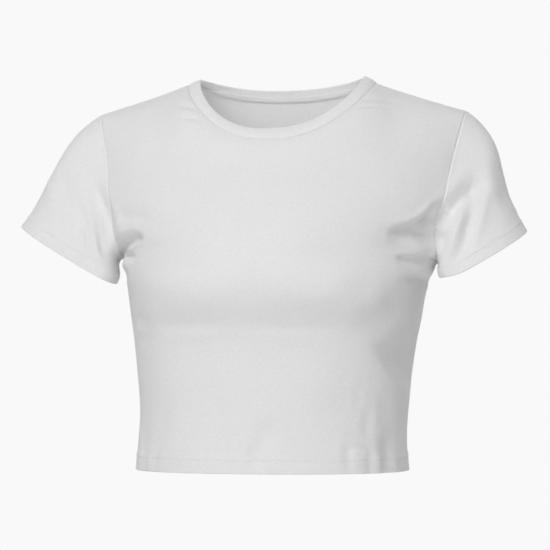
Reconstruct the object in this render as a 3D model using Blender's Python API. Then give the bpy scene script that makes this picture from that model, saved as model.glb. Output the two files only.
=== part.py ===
"""A cropped crew-neck T-shirt in stretch jersey, filled out as if worn.

Five sewn pieces: front, back, two set-in sleeves and a neckband. The front faces -Y and +Z is up.
The origin lies midway between the two high shoulder points, where a neck and shoulders hold the
garment. Each piece is a wall of cloth drawn through a short table of sections, and neighbours
share the curve of their seam, so they meet all along it. Neck, hem and cuffs are open.
"""

from collections import namedtuple

import bmesh
import bpy
import numpy as np

# --- driving dimensions, in metres ---------------------------------------------------------
CLOTH = 0.0015          # wall of one layer of jersey, with its loft
TURNED = 0.0011         # what the turned-up layer adds along a hem
BAND = 0.0026           # the neckband, folded double over its seam
SEAM_GAP = 0.0003       # between two pieces that are sewn together
BODY_HEM = 0.0185       # height of the turned-up hem of the body
SLEEVE_HEM = 0.0150     # height of the turned-up hem of a sleeve
STEP = 0.0012           # run of the step where a turned-up layer ends
MATCH = 0.00002         # points of two pieces this close are one point of their seam
MATCH_OFFSET = 0.3137   # keeps round sizes away from the limits of the cells they are matched in
MERGE = 0.000001        # points this close are one point where a sleeve or the neckband closes
LEAST_SLANT = 0.06      # keeps the gap at a seam from growing without limit on a slanting edge
LEAST_LEAN = 0.6        # and the wall from growing at a sharp seam

LEAN = 0.031            # how far the body swings sideways for each metre below the chest
LEAN_FROM = -0.080      # height where the swing starts
SHOULDER_TILT = 0.004   # rise of the shoulders for each metre towards +X
TILT_FROM = -0.200      # height below which the shoulders' tilt has died out

SHOULDER_TIP = (0.1915, 0.007, -0.0365)   # where shoulder seam and armhole meet, at +X
SHOULDER_SAG = 0.0012                     # dip of the shoulder seam between neck and tip
BAND_DOME = 0.0020                        # how far the neckband's middle stands out
DOME_POWER = 0.8                          # below 1 keeps the dome full towards its edges

# --- grid counts ---------------------------------------------------------------------------
SHOULDER_COLUMNS = 8    # along each shoulder seam
FRONT_NECK_COLUMNS = 20
BACK_NECK_COLUMNS = 14
ROWS_BELOW = 14         # from the hem fold up to the underarm
ROWS_ABOVE = 13         # from the underarm up to the shoulder
SLEEVE_ROWS = 12        # from the armhole down to the hem of the sleeve
BAND_ROWS = (0.0, 0.35, 0.70, 0.93, 1.0)   # from the neck seam to the free edge of the neckband
BAND_WALLS = (1.0, 1.0, 1.0, 1.0, 0.45)    # share of the neckband's thickness at each of these
LINE_POINTS = 361       # of a section before they are spread evenly
RING_POINTS = 181       # of half a neck ring before they are spread evenly
FADE_COLUMNS = 2.0      # a fold dies out over this many columns or rows at a panel's seams
FADE_ROWS = 3.0         # and over this many rows below an armhole
FRONT_OF_SLEEVE = (-0.01, 0.02)   # folds of a sleeve grow to full depth between these, ahead of its middle

# --- sections of the body ------------------------------------------------------------------
# One row for each height. "mid" is the centre line and "side" the seam or armhole at +X; the
# depths are Y values. "turn" is the angle in degrees that the cloth turns through from the
# centre to the side, and "square" above 2 makes the section boxier than an ellipse.
Section = namedtuple("Section", "mid_height side_height half_width mid_depth side_depth turn square")

FRONT_SECTIONS = (
    #       mid_height side_height half_width mid_depth side_depth turn square
    Section(-0.4085, -0.4085, 0.1425, -0.103, -0.006, 90, 2.30),   # hem
    Section(-0.3900, -0.3900, 0.1405, -0.102, -0.006, 90, 2.30),   # above the hem
    Section(-0.3600, -0.3600, 0.1397, -0.101, -0.006, 90, 2.30),   # waist
    Section(-0.3050, -0.3050, 0.1442, -0.104, -0.006, 90, 2.35),   # ribs
    Section(-0.2650, -0.2650, 0.1490, -0.111, -0.006, 90, 2.40),   # under the chest
    Section(-0.2320, -0.2320, 0.1535, -0.125, -0.006, 90, 2.40),   # lower chest
    Section(-0.2050, -0.2080, 0.1580, -0.130, -0.006, 90, 2.30),   # full chest
    Section(-0.1830, -0.1910, 0.1635, -0.127, -0.006, 90, 2.00),   # underarm
    Section(-0.1630, -0.1770, 0.1670, -0.121, -0.034, 74, 2.00),   # low armhole
    Section(-0.1280, -0.1390, 0.1725, -0.106, -0.045, 58, 2.00),   # across the chest
    Section(-0.0920, -0.0850, 0.1810, -0.086, -0.026, 50, 2.00),   # collar bones
)

BACK_SECTIONS = (
    #       mid_height side_height half_width mid_depth side_depth turn square
    Section(-0.4085, -0.4085, 0.1425, 0.083, -0.006, 90, 2.30),    # hem
    Section(-0.3900, -0.3900, 0.1405, 0.081, -0.006, 90, 2.30),    # above the hem
    Section(-0.3600, -0.3600, 0.1397, 0.078, -0.006, 90, 2.30),    # waist
    Section(-0.3050, -0.3050, 0.1442, 0.080, -0.006, 90, 2.30),    # ribs
    Section(-0.2650, -0.2650, 0.1490, 0.086, -0.006, 90, 2.30),    # lower back
    Section(-0.2320, -0.2320, 0.1535, 0.091, -0.006, 90, 2.30),    # middle back
    Section(-0.2050, -0.2080, 0.1580, 0.095, -0.006, 90, 2.20),    # below the shoulder blades
    Section(-0.1830, -0.1910, 0.1635, 0.097, -0.006, 90, 2.00),    # underarm
    Section(-0.1600, -0.1770, 0.1690, 0.097, 0.028, 74, 2.00),     # low armhole
    Section(-0.1150, -0.1330, 0.1770, 0.093, 0.050, 58, 2.00),     # shoulder blades
    Section(-0.0650, -0.0780, 0.1850, 0.076, 0.042, 50, 2.00),     # yoke
)
UNDERARM_SECTION = 7
CORNER_POWER = 10       # how closely the corner at the underarm keeps to the side
NECK_BLEND = 0.22       # share of the neckline over which the cloth turns from a corner into the band
CORNER_SHARE = 0.19     # share of a section outside the line that runs up to the neck corner

# --- the neckline: two rings, the seam on the body and the free edge of the band ------------
# The heights are those of its sides, front and back. "dip" is how soon it drops from the sides,
# "turn" the degrees by which its lowest point is turned towards -X, and "square" above 2 makes
# its plan boxier than an ellipse.
Ring = namedtuple("Ring", "half_width front back side_height front_height back_height dip turn square")
NECK_SEAM = Ring(0.0986, -0.0720, 0.0510, -0.0066, -0.0666, -0.0255, 1.62, 3.0, 2.2)
NECK_EDGE = Ring(0.0859, -0.0625, 0.0440, 0.0006, -0.0552, -0.0118, 1.42, 4.6, 2.3)

# --- sleeves -------------------------------------------------------------------------------
# centre: of the cuff; outward: half the cuff's width, from its underarm end to its outer end;
# depth: half its width from front to back; front_drop: how much lower the front of it hangs;
# slope: degrees by which it falls at the shoulder tip, and fullness how far it keeps to that way;
# end: the way its cloth runs at the cuff, and straight how far above the cuff it has that way.
Sleeve = namedtuple("Sleeve", "side centre outward depth front_drop square slope fullness end straight")
SLEEVES = {
    "sleeve_left": Sleeve(-1, (-0.2205, -0.028, -0.1855), (-0.0486, 0.0, 0.0305), 0.043,
                          0.001, 2.3, 28.0, 1.20, (-0.62, -0.05, -0.78), 1.05),
    "sleeve_right": Sleeve(1, (0.2120, -0.028, -0.1870), (0.0450, 0.0, 0.0250), 0.043,
                           0.006, 2.6, 34.0, 1.15, (0.50, -0.05, -0.86), 1.30),
}
# The way the cloth leaves the front, back and underarm points of the armhole at +X.
CAP_FRONT = (0.72, -0.45, -0.52)
CAP_BACK = (0.72, 0.42, -0.55)
CAP_UNDER = (0.62, 0.0, -0.78)

# --- the largest folds ---------------------------------------------------------------------
# Each is a soft trough (depth above 0) or ridge (below 0) from one end to the other, in X and Z.
Fold = namedtuple("Fold", "x0 z0 x1 z1 width depth")
FOLDS = {
    "front": (
        Fold(0.160, -0.140, 0.112, -0.160, 0.011, 0.0042),
        Fold(0.158, -0.182, 0.126, -0.185, 0.010, 0.0034),
        Fold(-0.168, -0.178, -0.148, -0.164, 0.011, 0.0032),
    ),
    "back": (
        Fold(0.158, -0.150, 0.118, -0.168, 0.012, 0.0022),
        Fold(-0.160, -0.155, -0.122, -0.172, 0.012, 0.0022),
    ),
    "sleeve_left": (
        Fold(-0.198, -0.120, -0.182, -0.175, 0.010, 0.0018),
    ),
    "sleeve_right": (
        Fold(0.196, -0.112, 0.176, -0.165, 0.010, 0.0022),
    ),
}

SHARP_ANGLE = 50.0      # degrees; rims of the cloth stay crisp
COTTON_WHITE = (0.80, 0.80, 0.79)
COTTON_ROUGHNESS = 0.9
COTTON_SHADES = {"front": 1.0, "back": 0.97, "sleeve_left": 0.99, "sleeve_right": 0.98, "neckband": 0.95}


def mix(a, b, share):
    """The value a share of the way from a to b."""
    return a + (b - a) * share


def unit(vectors):
    """The same directions, one metre long."""
    vectors = np.asarray(vectors, float)
    return vectors / np.maximum(np.linalg.norm(vectors, axis=-1, keepdims=True), 1e-12)


def evenly(points, shares):
    """Points at the given shares of the length of a dense line of points."""
    lengths = np.linalg.norm(np.diff(points, axis=0), axis=1)
    along = np.concatenate([[0.0], np.cumsum(lengths)])
    return np.stack([np.interp(shares * along[-1], along, points[:, axis]) for axis in range(3)], axis=1)


def section_line(section, shares):
    """One section from the -X side to the +X side, its points an even distance apart."""
    across = np.linspace(-1.0, 1.0, LINE_POINTS)
    turn = np.radians(section.turn)
    reach = np.abs(np.sin(turn * across) / np.sin(turn)) ** (2.0 / section.square)
    bow = np.clip((np.cos(turn * across) - np.cos(turn)) / (1.0 - np.cos(turn)), 0.0, 1.0)
    x = section.half_width * np.sign(across) * reach
    y = mix(section.side_depth, section.mid_depth, bow ** (2.0 / section.square))
    z = mix(section.mid_height, section.side_height, np.abs(across) ** 2)
    return evenly(np.stack([x, y, z], axis=1), shares)


def neck_points(ring, angles):
    """Points of a neck ring: 0 degrees is the shoulder at +X, 90 the front and 270 the back."""
    angles = np.radians(np.asarray(angles, float))
    ahead, aside = np.sin(angles), np.cos(angles)
    dip = np.abs(np.sin(angles - np.radians(ring.turn) * ahead)) ** ring.dip
    lowest = np.where(ahead > 0.0, ring.front_height, ring.back_height)
    deepest = np.where(ahead > 0.0, ring.front, ring.back)
    x = ring.half_width * np.sign(aside) * np.abs(aside) ** (2.0 / ring.square)
    y = deepest * np.abs(ahead) ** (2.0 / ring.square)
    z = mix(ring.side_height, lowest, dip)
    return np.stack([x, y, z], axis=1)


def neck_line(ring, facing, shares):
    """The front or back half of a neck ring from -X to +X, its points an even distance apart."""
    dense = np.linspace(180.0, 0.0 if facing == "front" else 360.0, RING_POINTS)
    return evenly(neck_points(ring, dense), shares)


def shoulder_line(corner, tip, shares):
    """A shoulder seam from the neck to the tip, with a slight sag."""
    line = mix(np.asarray(corner, float), np.asarray(tip, float), shares[:, None])
    line[:, 2] -= SHOULDER_SAG * np.sin(np.pi * shares)
    return line


def top_line(facing, shoulder_columns, neck_columns):
    """Shoulder seam, neckline and shoulder seam, from the -X tip to the +X tip."""
    neck = neck_line(NECK_SEAM, facing, np.linspace(0.0, 1.0, neck_columns + 1))
    out = np.linspace(0.0, 1.0, shoulder_columns + 1)
    tip = np.array(SHOULDER_TIP)
    left = shoulder_line(neck[0], tip * (-1, 1, 1), out)[::-1]
    right = shoulder_line(neck[-1], tip, out)
    return np.concatenate([left[:-1], neck, right[1:]])


def smooth_ways(stations, places, last_way):
    """The way each curve runs through its stations, so that it bends evenly between them."""
    count = len(places)
    steps = np.diff(places)
    slopes = np.diff(stations, axis=0) / steps[:, None, None]
    weights = np.zeros((count, count))
    pulls = np.empty_like(stations)
    weights[0, :2] = (2.0, 1.0)
    pulls[0] = 3.0 * slopes[0]
    for i in range(1, count - 1):
        weights[i, i - 1:i + 2] = (1 / steps[i - 1], 2 / steps[i - 1] + 2 / steps[i], 1 / steps[i])
        pulls[i] = 3.0 * (slopes[i - 1] / steps[i - 1] + slopes[i] / steps[i])
    weights[-1, -1] = 1.0
    pulls[-1] = unit(last_way) * np.linalg.norm(slopes[-1], axis=1, keepdims=True)
    return np.linalg.solve(weights, pulls.reshape(count, -1)).reshape(stations.shape)


def edge_ways(stations, places):
    """The same for the sides of a panel, where each way follows only the two nearest stations."""
    steps = np.diff(places)
    slopes = np.diff(stations, axis=0) / steps[:, None, None]
    before, after = steps[:-1, None, None], steps[1:, None, None]
    inner = (slopes[:-1] * after + slopes[1:] * before) / (before + after)
    return np.concatenate([slopes[:1], inner, slopes[-1:]])


def curve_through(stations, places, wanted, last_way):
    """Rows of points on smooth curves from the hem through the sections to the top edge.

    stations has one row of points for each of places, and the result one for each of wanted.
    At the underarm the side seam turns sharply into the armhole, so there the outermost curves
    leave in another way than they arrive.
    """
    steps = np.diff(places)
    slopes = np.diff(stations, axis=0) / steps[:, None, None]
    side = np.abs(np.linspace(-1.0, 1.0, stations.shape[1]))[:, None] ** CORNER_POWER
    smooth = smooth_ways(stations, places, last_way)
    leave = mix(smooth, edge_ways(stations, places), side)
    leave[-1] = smooth[-1]
    arrive = leave.copy()
    arrive[UNDERARM_SECTION] = mix(smooth[UNDERARM_SECTION], slopes[UNDERARM_SECTION - 1], side)
    leave[UNDERARM_SECTION] = mix(smooth[UNDERARM_SECTION], slopes[UNDERARM_SECTION], side)
    rows = []
    for place in wanted:
        i = int(np.clip(np.searchsorted(places, place) - 1, 0, len(steps) - 1))
        t = (place - places[i]) / steps[i]
        rows.append(stations[i] * (2 * t**3 - 3 * t**2 + 1) + stations[i + 1] * (3 * t**2 - 2 * t**3)
                    + leave[i] * steps[i] * (t**3 - 2 * t**2 + t) + arrive[i + 1] * steps[i] * (t**3 - t**2))
    return np.array(rows)


def smooth_step(value, low, high):
    """0 below low, 1 above high and a soft ramp between."""
    t = np.clip((value - low) / (high - low), 0.0, 1.0)
    return t * t * (3.0 - 2.0 * t)


def pose(points):
    """The slight stance: the body swings to one side and the shoulders tilt."""
    posed = points.copy()
    posed[..., 0] += LEAN * np.minimum(points[..., 2] - LEAN_FROM, 0.0)
    posed[..., 2] += SHOULDER_TILT * points[..., 0] * smooth_step(points[..., 2], TILT_FROM, TILT_FROM / 2)
    return posed


def panel_stations(facing, neck_columns, shoulder_columns):
    """The sections and the top edge of the front or back, as rows of points from -X to +X."""
    sections = FRONT_SECTIONS if facing == "front" else BACK_SECTIONS
    out = np.linspace(0.0, CORNER_SHARE, shoulder_columns + 1)
    across = np.linspace(CORNER_SHARE, 1.0 - CORNER_SHARE, neck_columns + 1)
    shares = np.concatenate([out[:-1], across, 1.0 - out[::-1][1:]])
    rows = [section_line(section, shares) for section in sections]
    return np.array(rows + [top_line(facing, shoulder_columns, neck_columns)])


def section_places():
    """How far up the cloth each section lies from the hem, the same for front and back."""
    stations = [panel_stations(facing, FRONT_NECK_COLUMNS, SHOULDER_COLUMNS) for facing in ("front", "back")]
    gaps = [np.linalg.norm(np.diff(rows, axis=0), axis=2).mean(axis=1) for rows in stations]
    return np.concatenate([[0.0], np.cumsum(np.mean(gaps, axis=0))])


def body_points(facing, neck_columns, shoulder_columns, rows_below, rows_above):
    """The front or back as rows of points from hem to shoulder, each row from -X to +X."""
    stations = panel_stations(facing, neck_columns, shoulder_columns)
    places = section_places()
    hem_rows = np.array([0.0, BODY_HEM, BODY_HEM + STEP])
    below = np.linspace(hem_rows[-1], places[UNDERARM_SECTION], rows_below + 1)
    above = np.linspace(places[UNDERARM_SECTION], places[-1], rows_above + 1)
    wanted = np.concatenate([hem_rows[:-1], below, above[1:]])
    last_way = neck_leaving_way(facing, stations[-1], shoulder_columns, neck_columns)
    return pose(curve_through(stations, places, wanted, last_way))


def neck_leaving_way(facing, top, shoulder_columns, neck_columns):
    """The way the cloth runs at its top edge: over the shoulder, or up into the neckband.

    At the neck corners it runs halfway between the two.
    """
    over = np.array([0.0, 1.0 if facing == "front" else -1.0, 0.0])
    into_band = unit(neck_line(NECK_EDGE, facing, np.linspace(0.0, 1.0, neck_columns + 1))
                     - top[shoulder_columns:shoulder_columns + neck_columns + 1])
    corners = [unit(over + into_band[end]) for end in (0, -1)]
    out = smooth_step(np.linspace(0.0, 1.0, shoulder_columns + 1), 0.0, 1.0)[:, None]
    left = mix(corners[0], over, out)[::-1]
    right = mix(corners[1], over, out)
    inside = np.minimum(np.linspace(0.0, 1.0, neck_columns + 1), np.linspace(1.0, 0.0, neck_columns + 1))
    inside = smooth_step(inside, 0.0, NECK_BLEND)[:, None]
    nearest = np.where(np.arange(neck_columns + 1)[:, None] * 2 < neck_columns, corners[0], corners[1])
    neck = mix(nearest, into_band, inside)
    return np.concatenate([left[:-1], neck, right[1:]])


def sleeve_points(sleeve, armhole, rows):
    """A sleeve as rings of points, from the armhole down to the cuff.

    armhole starts and ends at the underarm and climbs the front first.
    """
    count = len(armhole) - 1
    climb = np.linalg.norm(np.diff(armhole, axis=0), axis=1)
    along = np.concatenate([[0.0], np.cumsum(climb)])
    top = int(np.argmax(armhole[:, 2]))
    up = 180.0 - 180.0 * along[: top + 1] / along[top]
    down = -180.0 * (along[top:] - along[top]) / (along[-1] - along[top])
    angles = np.radians(np.concatenate([up, down[1:]]))
    cosine, sine = np.cos(angles)[:, None], np.sin(angles)[:, None]
    power = 2.0 / sleeve.square
    outward = np.sign(cosine) * np.abs(cosine) ** power
    forward = np.sign(sine) * np.abs(sine) ** power
    cuff = (np.array(sleeve.centre) + np.array(sleeve.outward) * outward
            + np.array([0.0, -sleeve.depth, -sleeve.front_drop]) * forward)
    mirror = np.array([sleeve.side, 1.0, 1.0])
    fall = np.radians(sleeve.slope)
    top_way, under_way = np.array([np.cos(fall), 0.0, -np.sin(fall)]) * mirror, np.array(CAP_UNDER) * mirror
    front_way, back_way = np.array(CAP_FRONT) * mirror, np.array(CAP_BACK) * mirror
    upright, level = cosine**2, sine**2
    start = (np.where(cosine > 0, top_way, under_way) * upright
             + np.where(sine > 0, front_way, back_way) * level)
    length = np.linalg.norm(cuff - armhole, axis=1, keepdims=True)
    leave = unit(start) * length * sleeve.fullness
    arrive = unit(np.tile(sleeve.end, (count + 1, 1))) * length * sleeve.straight
    hem = SLEEVE_HEM / length.mean()
    step = STEP / length.mean()
    wanted = np.concatenate([np.linspace(0.0, 1.0 - hem - step, rows + 1), [1.0 - hem, 1.0]])
    rings = [armhole * (2 * t**3 - 3 * t**2 + 1) + leave * (t**3 - 2 * t**2 + t)
             + cuff * (3 * t**2 - 2 * t**3) + arrive * (t**3 - t**2) for t in wanted]
    return np.array(rings)


def band_points(seam, edge, rows):
    """The neckband as rings of points from its seam to its free edge, slightly domed."""
    shares = np.array(rows)[:, None, None]
    flat = mix(seam[None], edge[None], shares)
    along = np.roll(seam, -1, axis=0) - np.roll(seam, 1, axis=0)
    along[0] = along[-1] = seam[1] - seam[-2]
    outward = unit(np.cross(along, edge - seam))
    dome = BAND_DOME * np.sin(np.pi * shares) ** DOME_POWER
    return flat + outward[None] * dome


def apply_folds(points, facing_front, folds, fade):
    """Press the troughs and raise the ridges on the side of the cloth that they lie on."""
    normals = sheet_normals(points, False)
    if not facing_front:
        normals = -normals
    for fold in folds:
        start, end = np.array([fold.x0, fold.z0]), np.array([fold.x1, fold.z1])
        run = end - start
        place = points[..., [0, 2]] - start
        share = (place @ run) / (run @ run)
        across = np.linalg.norm(place - np.clip(share, 0.0, 1.0)[..., None] * run, axis=-1)
        press = fold.depth * np.exp(-((across / fold.width) ** 2)) * fade
        points = points - normals * press[..., None]
    return points


def sheet_normals(points, closed):
    """The direction square to a grid of points at each of them."""
    up = np.gradient(points, axis=0)
    if closed:
        ring = points[:, :-1]
        across = np.roll(ring, -1, axis=1) - np.roll(ring, 1, axis=1)
        across = np.concatenate([across, across[:, :1]], axis=1)
    else:
        across = np.gradient(points, axis=1)
    return unit(np.cross(across, up))


class Piece:
    """One sewn piece: a grid of points on its outer face, its wall and which edges are sewn."""

    def __init__(self, name, points, wall, closed, outward, sewn):
        self.name = name
        self.points = points
        self.wall = wall
        self.closed = closed
        self.outward = outward
        self.sewn = sewn
        self.normals = sheet_normals(points, closed) * outward
        self.own_normals = self.normals.copy()

    def edge_slices(self):
        """The sewn edges, each with the row or column next to it."""
        slices = {"first_row": (np.s_[0, :], np.s_[1, :]), "last_row": (np.s_[-1, :], np.s_[-2, :]),
                  "first_column": (np.s_[:, 0], np.s_[:, 1]), "last_column": (np.s_[:, -1], np.s_[:, -2])}
        return [slices[name] for name in self.sewn]


def share_seam_directions(pieces):
    """Give every point on a seam one direction for its wall, the mean of the pieces' own."""
    sums = {}
    for piece in pieces:
        for key, row, column in edge_keys(piece):
            sums[key] = sums.get(key, 0.0) + piece.own_normals[row, column]
    for piece in pieces:
        for key, row, column in edge_keys(piece):
            piece.normals[row, column] = unit(sums[key])


def edge_keys(piece):
    """Every point on the rim of a piece, with a key that is the same on its neighbours."""
    rows, columns = piece.points.shape[:2]
    for row in range(rows):
        for column in range(columns):
            on_rim = row in (0, rows - 1) or column in (0, columns - 1)
            if on_rim:
                cell = np.floor(piece.points[row, column] / MATCH + MATCH_OFFSET)
                yield tuple(cell.astype(int)), row, column


def sew_gap(piece):
    """Draw the sewn edges back by half the gap, square to the seam's shared direction."""
    shift = np.zeros_like(piece.points)
    for edge, inner in piece.edge_slices():
        inward = unit(piece.points[inner] - piece.points[edge])
        along = np.sum(inward * piece.normals[edge], axis=-1, keepdims=True)
        square = np.sqrt(np.clip(1.0 - along**2, LEAST_SLANT, 1.0))
        shift[edge] += inward * (SEAM_GAP / 2.0) / square
    return piece.points + shift


def wall_object(piece):
    """The piece as a closed wall of cloth: an outer sheet, an inner sheet and the rims between."""
    rows, columns = piece.points.shape[:2]
    outer = sew_gap(piece)
    lean = np.clip(np.sum(piece.normals * piece.own_normals, axis=-1, keepdims=True), LEAST_LEAN, 1.0)
    inner = outer - piece.normals * piece.wall[..., None] / lean
    mesh = bpy.data.meshes.new(piece.name)
    cloth = bmesh.new()
    bmesh.ops.create_grid(cloth, x_segments=columns - 1, y_segments=rows - 1, size=1.0)
    row_of = cloth.verts.layers.int.new("row")
    outer_vertices = cloth.verts[:]
    for index, vertex in enumerate(outer_vertices):
        vertex[row_of] = index // columns
    copy = bmesh.ops.duplicate(cloth, geom=cloth.verts[:] + cloth.edges[:] + cloth.faces[:])
    for index, vertex in enumerate(outer_vertices):
        vertex.co = outer[index // columns, index % columns]
        copy["vert_map"][vertex].co = inner[index // columns, index % columns]
    if piece.closed:
        bmesh.ops.remove_doubles(cloth, verts=cloth.verts[:], dist=MERGE)
    rims = [edge for edge in cloth.edges if edge.is_boundary]
    if piece.closed:
        for end in (0, rows - 1):
            ring = [edge for edge in rims if edge.verts[0][row_of] == edge.verts[1][row_of] == end]
            bmesh.ops.bridge_loops(cloth, edges=ring)
    else:
        bmesh.ops.bridge_loops(cloth, edges=rims)
    bmesh.ops.triangulate(cloth, faces=cloth.faces[:])
    bmesh.ops.recalc_face_normals(cloth, faces=cloth.faces[:])
    cloth.to_mesh(mesh)
    cloth.free()
    mesh.shade_smooth()
    mesh.set_sharp_from_angle(angle=np.radians(SHARP_ANGLE))
    cloth_object = bpy.data.objects.new(piece.name, mesh)
    bpy.context.scene.collection.objects.link(cloth_object)
    cloth_object.data.materials.append(jersey(piece.name))
    return cloth_object


def jersey(name):
    """Plain white cotton jersey."""
    material = bpy.data.materials.new("jersey_" + name)
    material.use_nodes = True
    shader = material.node_tree.nodes["Principled BSDF"]
    shade = COTTON_SHADES[name]
    shader.inputs["Base Color"].default_value = (*(value * shade for value in COTTON_WHITE), 1.0)
    shader.inputs["Roughness"].default_value = COTTON_ROUGHNESS
    shader.inputs["Metallic"].default_value = 0.0
    return material


def clear_scene():
    """Start from an empty scene."""
    for thing in list(bpy.data.objects):
        bpy.data.objects.remove(thing, do_unlink=True)


def make_pieces():
    """All five pieces, with their seams matched."""
    front = body_points("front", FRONT_NECK_COLUMNS, SHOULDER_COLUMNS, ROWS_BELOW, ROWS_ABOVE)
    back = body_points("back", BACK_NECK_COLUMNS, SHOULDER_COLUMNS, ROWS_BELOW, ROWS_ABOVE)
    underarm = 2 + ROWS_BELOW
    for edge in (0, -1):
        back[:, edge] = np.where(np.arange(len(back))[:, None] <= underarm, front[:, edge], back[:, edge])
    hem_wall = np.where(np.arange(len(front)) < 2, CLOTH + TURNED, CLOTH)
    all_edges = ("first_column", "last_column", "last_row")
    fades = {name: seam_fade(points) for name, points in (("front", front), ("back", back))}
    pieces = []
    for name, points, outward in (("front", front, 1.0), ("back", back, -1.0)):
        folded = apply_folds(points, outward > 0, FOLDS[name], fades[name])
        wall = np.tile(hem_wall[:, None], (1, points.shape[1]))
        pieces.append(Piece(name, folded, wall, False, outward, all_edges))
    for name, sleeve in SLEEVES.items():
        edge = -1 if sleeve.side > 0 else 0
        armhole = np.concatenate([front[underarm:, edge], back[underarm:, edge][::-1][1:]])
        rings = sleeve_points(sleeve, armhole, SLEEVE_ROWS)
        forward = smooth_step(rings[..., 1].mean() - rings[..., 1], *FRONT_OF_SLEEVE)
        down = np.minimum(np.arange(len(rings)) / FADE_ROWS, 1.0)[:, None]
        rings = apply_folds(rings, sleeve.side < 0, FOLDS[name], forward * down)
        wall = np.full(rings.shape[:2], CLOTH)
        wall[-2:] += TURNED
        pieces.append(Piece(name, rings, wall, True, 1.0 if sleeve.side < 0 else -1.0, ("first_row",)))
    neck_front = slice(SHOULDER_COLUMNS, SHOULDER_COLUMNS + FRONT_NECK_COLUMNS + 1)
    neck_back = slice(SHOULDER_COLUMNS, SHOULDER_COLUMNS + BACK_NECK_COLUMNS + 1)
    seam = np.concatenate([front[-1, neck_front], back[-1, neck_back][::-1][1:]])
    edge_front = neck_line(NECK_EDGE, "front", np.linspace(0.0, 1.0, FRONT_NECK_COLUMNS + 1))
    edge_back = neck_line(NECK_EDGE, "back", np.linspace(0.0, 1.0, BACK_NECK_COLUMNS + 1))
    edge = pose(np.concatenate([edge_front, edge_back[::-1][1:]]))
    band = band_points(seam, edge, BAND_ROWS)
    wall = np.tile(BAND * np.array(BAND_WALLS)[:, None], (1, band.shape[1]))
    pieces.append(Piece("neckband", band, wall, True, 1.0, ("first_row",)))
    share_seam_directions(pieces)
    return pieces


def seam_fade(points):
    """1 inside a panel and 0 along its sides and top, so that a fold dies out at the seams."""
    rows, columns = points.shape[:2]
    column = np.arange(columns)
    from_side = np.minimum(column, columns - 1 - column) / FADE_COLUMNS
    from_top = (rows - 1 - np.arange(rows)) / FADE_COLUMNS
    return np.clip(from_side, 0.0, 1.0)[None, :] * np.clip(from_top, 0.0, 1.0)[:, None]


def main():
    clear_scene()
    for piece in make_pieces():
        wall_object(piece)


main()
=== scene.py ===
# %% [markdown]
# # A cropped crew-neck T-shirt in white stretch jersey
# The garment is filled out as if worn: two panels, two set-in sleeves and a neckband folded double.
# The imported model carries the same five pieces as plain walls. Here each one is sewn again as a fine
# sheet on the same curves, with its seams, hems, creases, stitches and knit.

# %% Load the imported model
from collections import namedtuple

import bmesh
import bpy
import numpy as np
from mathutils import Matrix, Vector


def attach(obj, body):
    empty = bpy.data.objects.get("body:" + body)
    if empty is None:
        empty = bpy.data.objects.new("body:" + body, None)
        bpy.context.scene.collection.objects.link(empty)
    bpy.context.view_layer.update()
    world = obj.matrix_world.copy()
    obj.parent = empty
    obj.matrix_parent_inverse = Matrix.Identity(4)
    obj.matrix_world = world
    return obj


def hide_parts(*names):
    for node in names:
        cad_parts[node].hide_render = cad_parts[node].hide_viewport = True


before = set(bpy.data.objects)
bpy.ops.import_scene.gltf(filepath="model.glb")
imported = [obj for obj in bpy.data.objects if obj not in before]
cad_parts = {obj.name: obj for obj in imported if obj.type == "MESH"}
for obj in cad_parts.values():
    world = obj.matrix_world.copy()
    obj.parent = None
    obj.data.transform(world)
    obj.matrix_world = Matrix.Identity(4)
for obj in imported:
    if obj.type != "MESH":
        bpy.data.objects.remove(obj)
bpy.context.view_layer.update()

print("pieces in the packed model:", sorted(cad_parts))

# %% [markdown]
# ## Sizes
# All lengths are in metres. Cotton jersey with some elastane is about 0.8 mm thick. A hem is the
# panel's own cloth turned up inside, so at the hem there are two layers and at a seam there is bulk.

# %% Sizes of cloth, hems and seams
CLOTH = 0.0008          # one layer of jersey
LAYER_GAP = 0.0002      # air between two layers that lie on each other
BODY_HEM = 0.0188       # height of the turned-up layer of the body
SLEEVE_HEM = 0.0150     # and of a sleeve
FOLD_RADIUS = CLOTH + LAYER_GAP / 2.0
FOLD_ANGLES = np.radians(np.linspace(0.0, 180.0, 8)[1:])
SEAM_DIP = 0.0005       # how deep the cloth dips where two pieces are sewn together
SEAM_REACH = 0.0010     # and how far from the seam
SHARE_REACH = 0.0050    # neighbours agree on the direction of their faces within this of a seam

LEAN, LEAN_FROM = 0.031, -0.080             # the body swings sideways below the chest
SHOULDER_TILT, TILT_FROM = 0.004, -0.200    # the shoulders rise a little towards +X
SHOULDER_TIP = (0.1915, 0.007, -0.0365)
SHOULDER_SAG = 0.0012
BAND_DOME, DOME_POWER = 0.0007, 0.8         # how far the neckband swells, and how evenly
print("cloth %.1f mm thick, a hem %.1f mm" % (1000.0 * CLOTH, 2000.0 * FOLD_RADIUS))

# %% [markdown]
# ## Sections of the body
# A panel is drawn through a table of horizontal sections, from the hem up to the collar bones. For
# each one the table gives the centre and the side, and how square its corner is. A surface through
# sections is the usual way to make a worn garment, because a pattern maker measures it like that.

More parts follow.
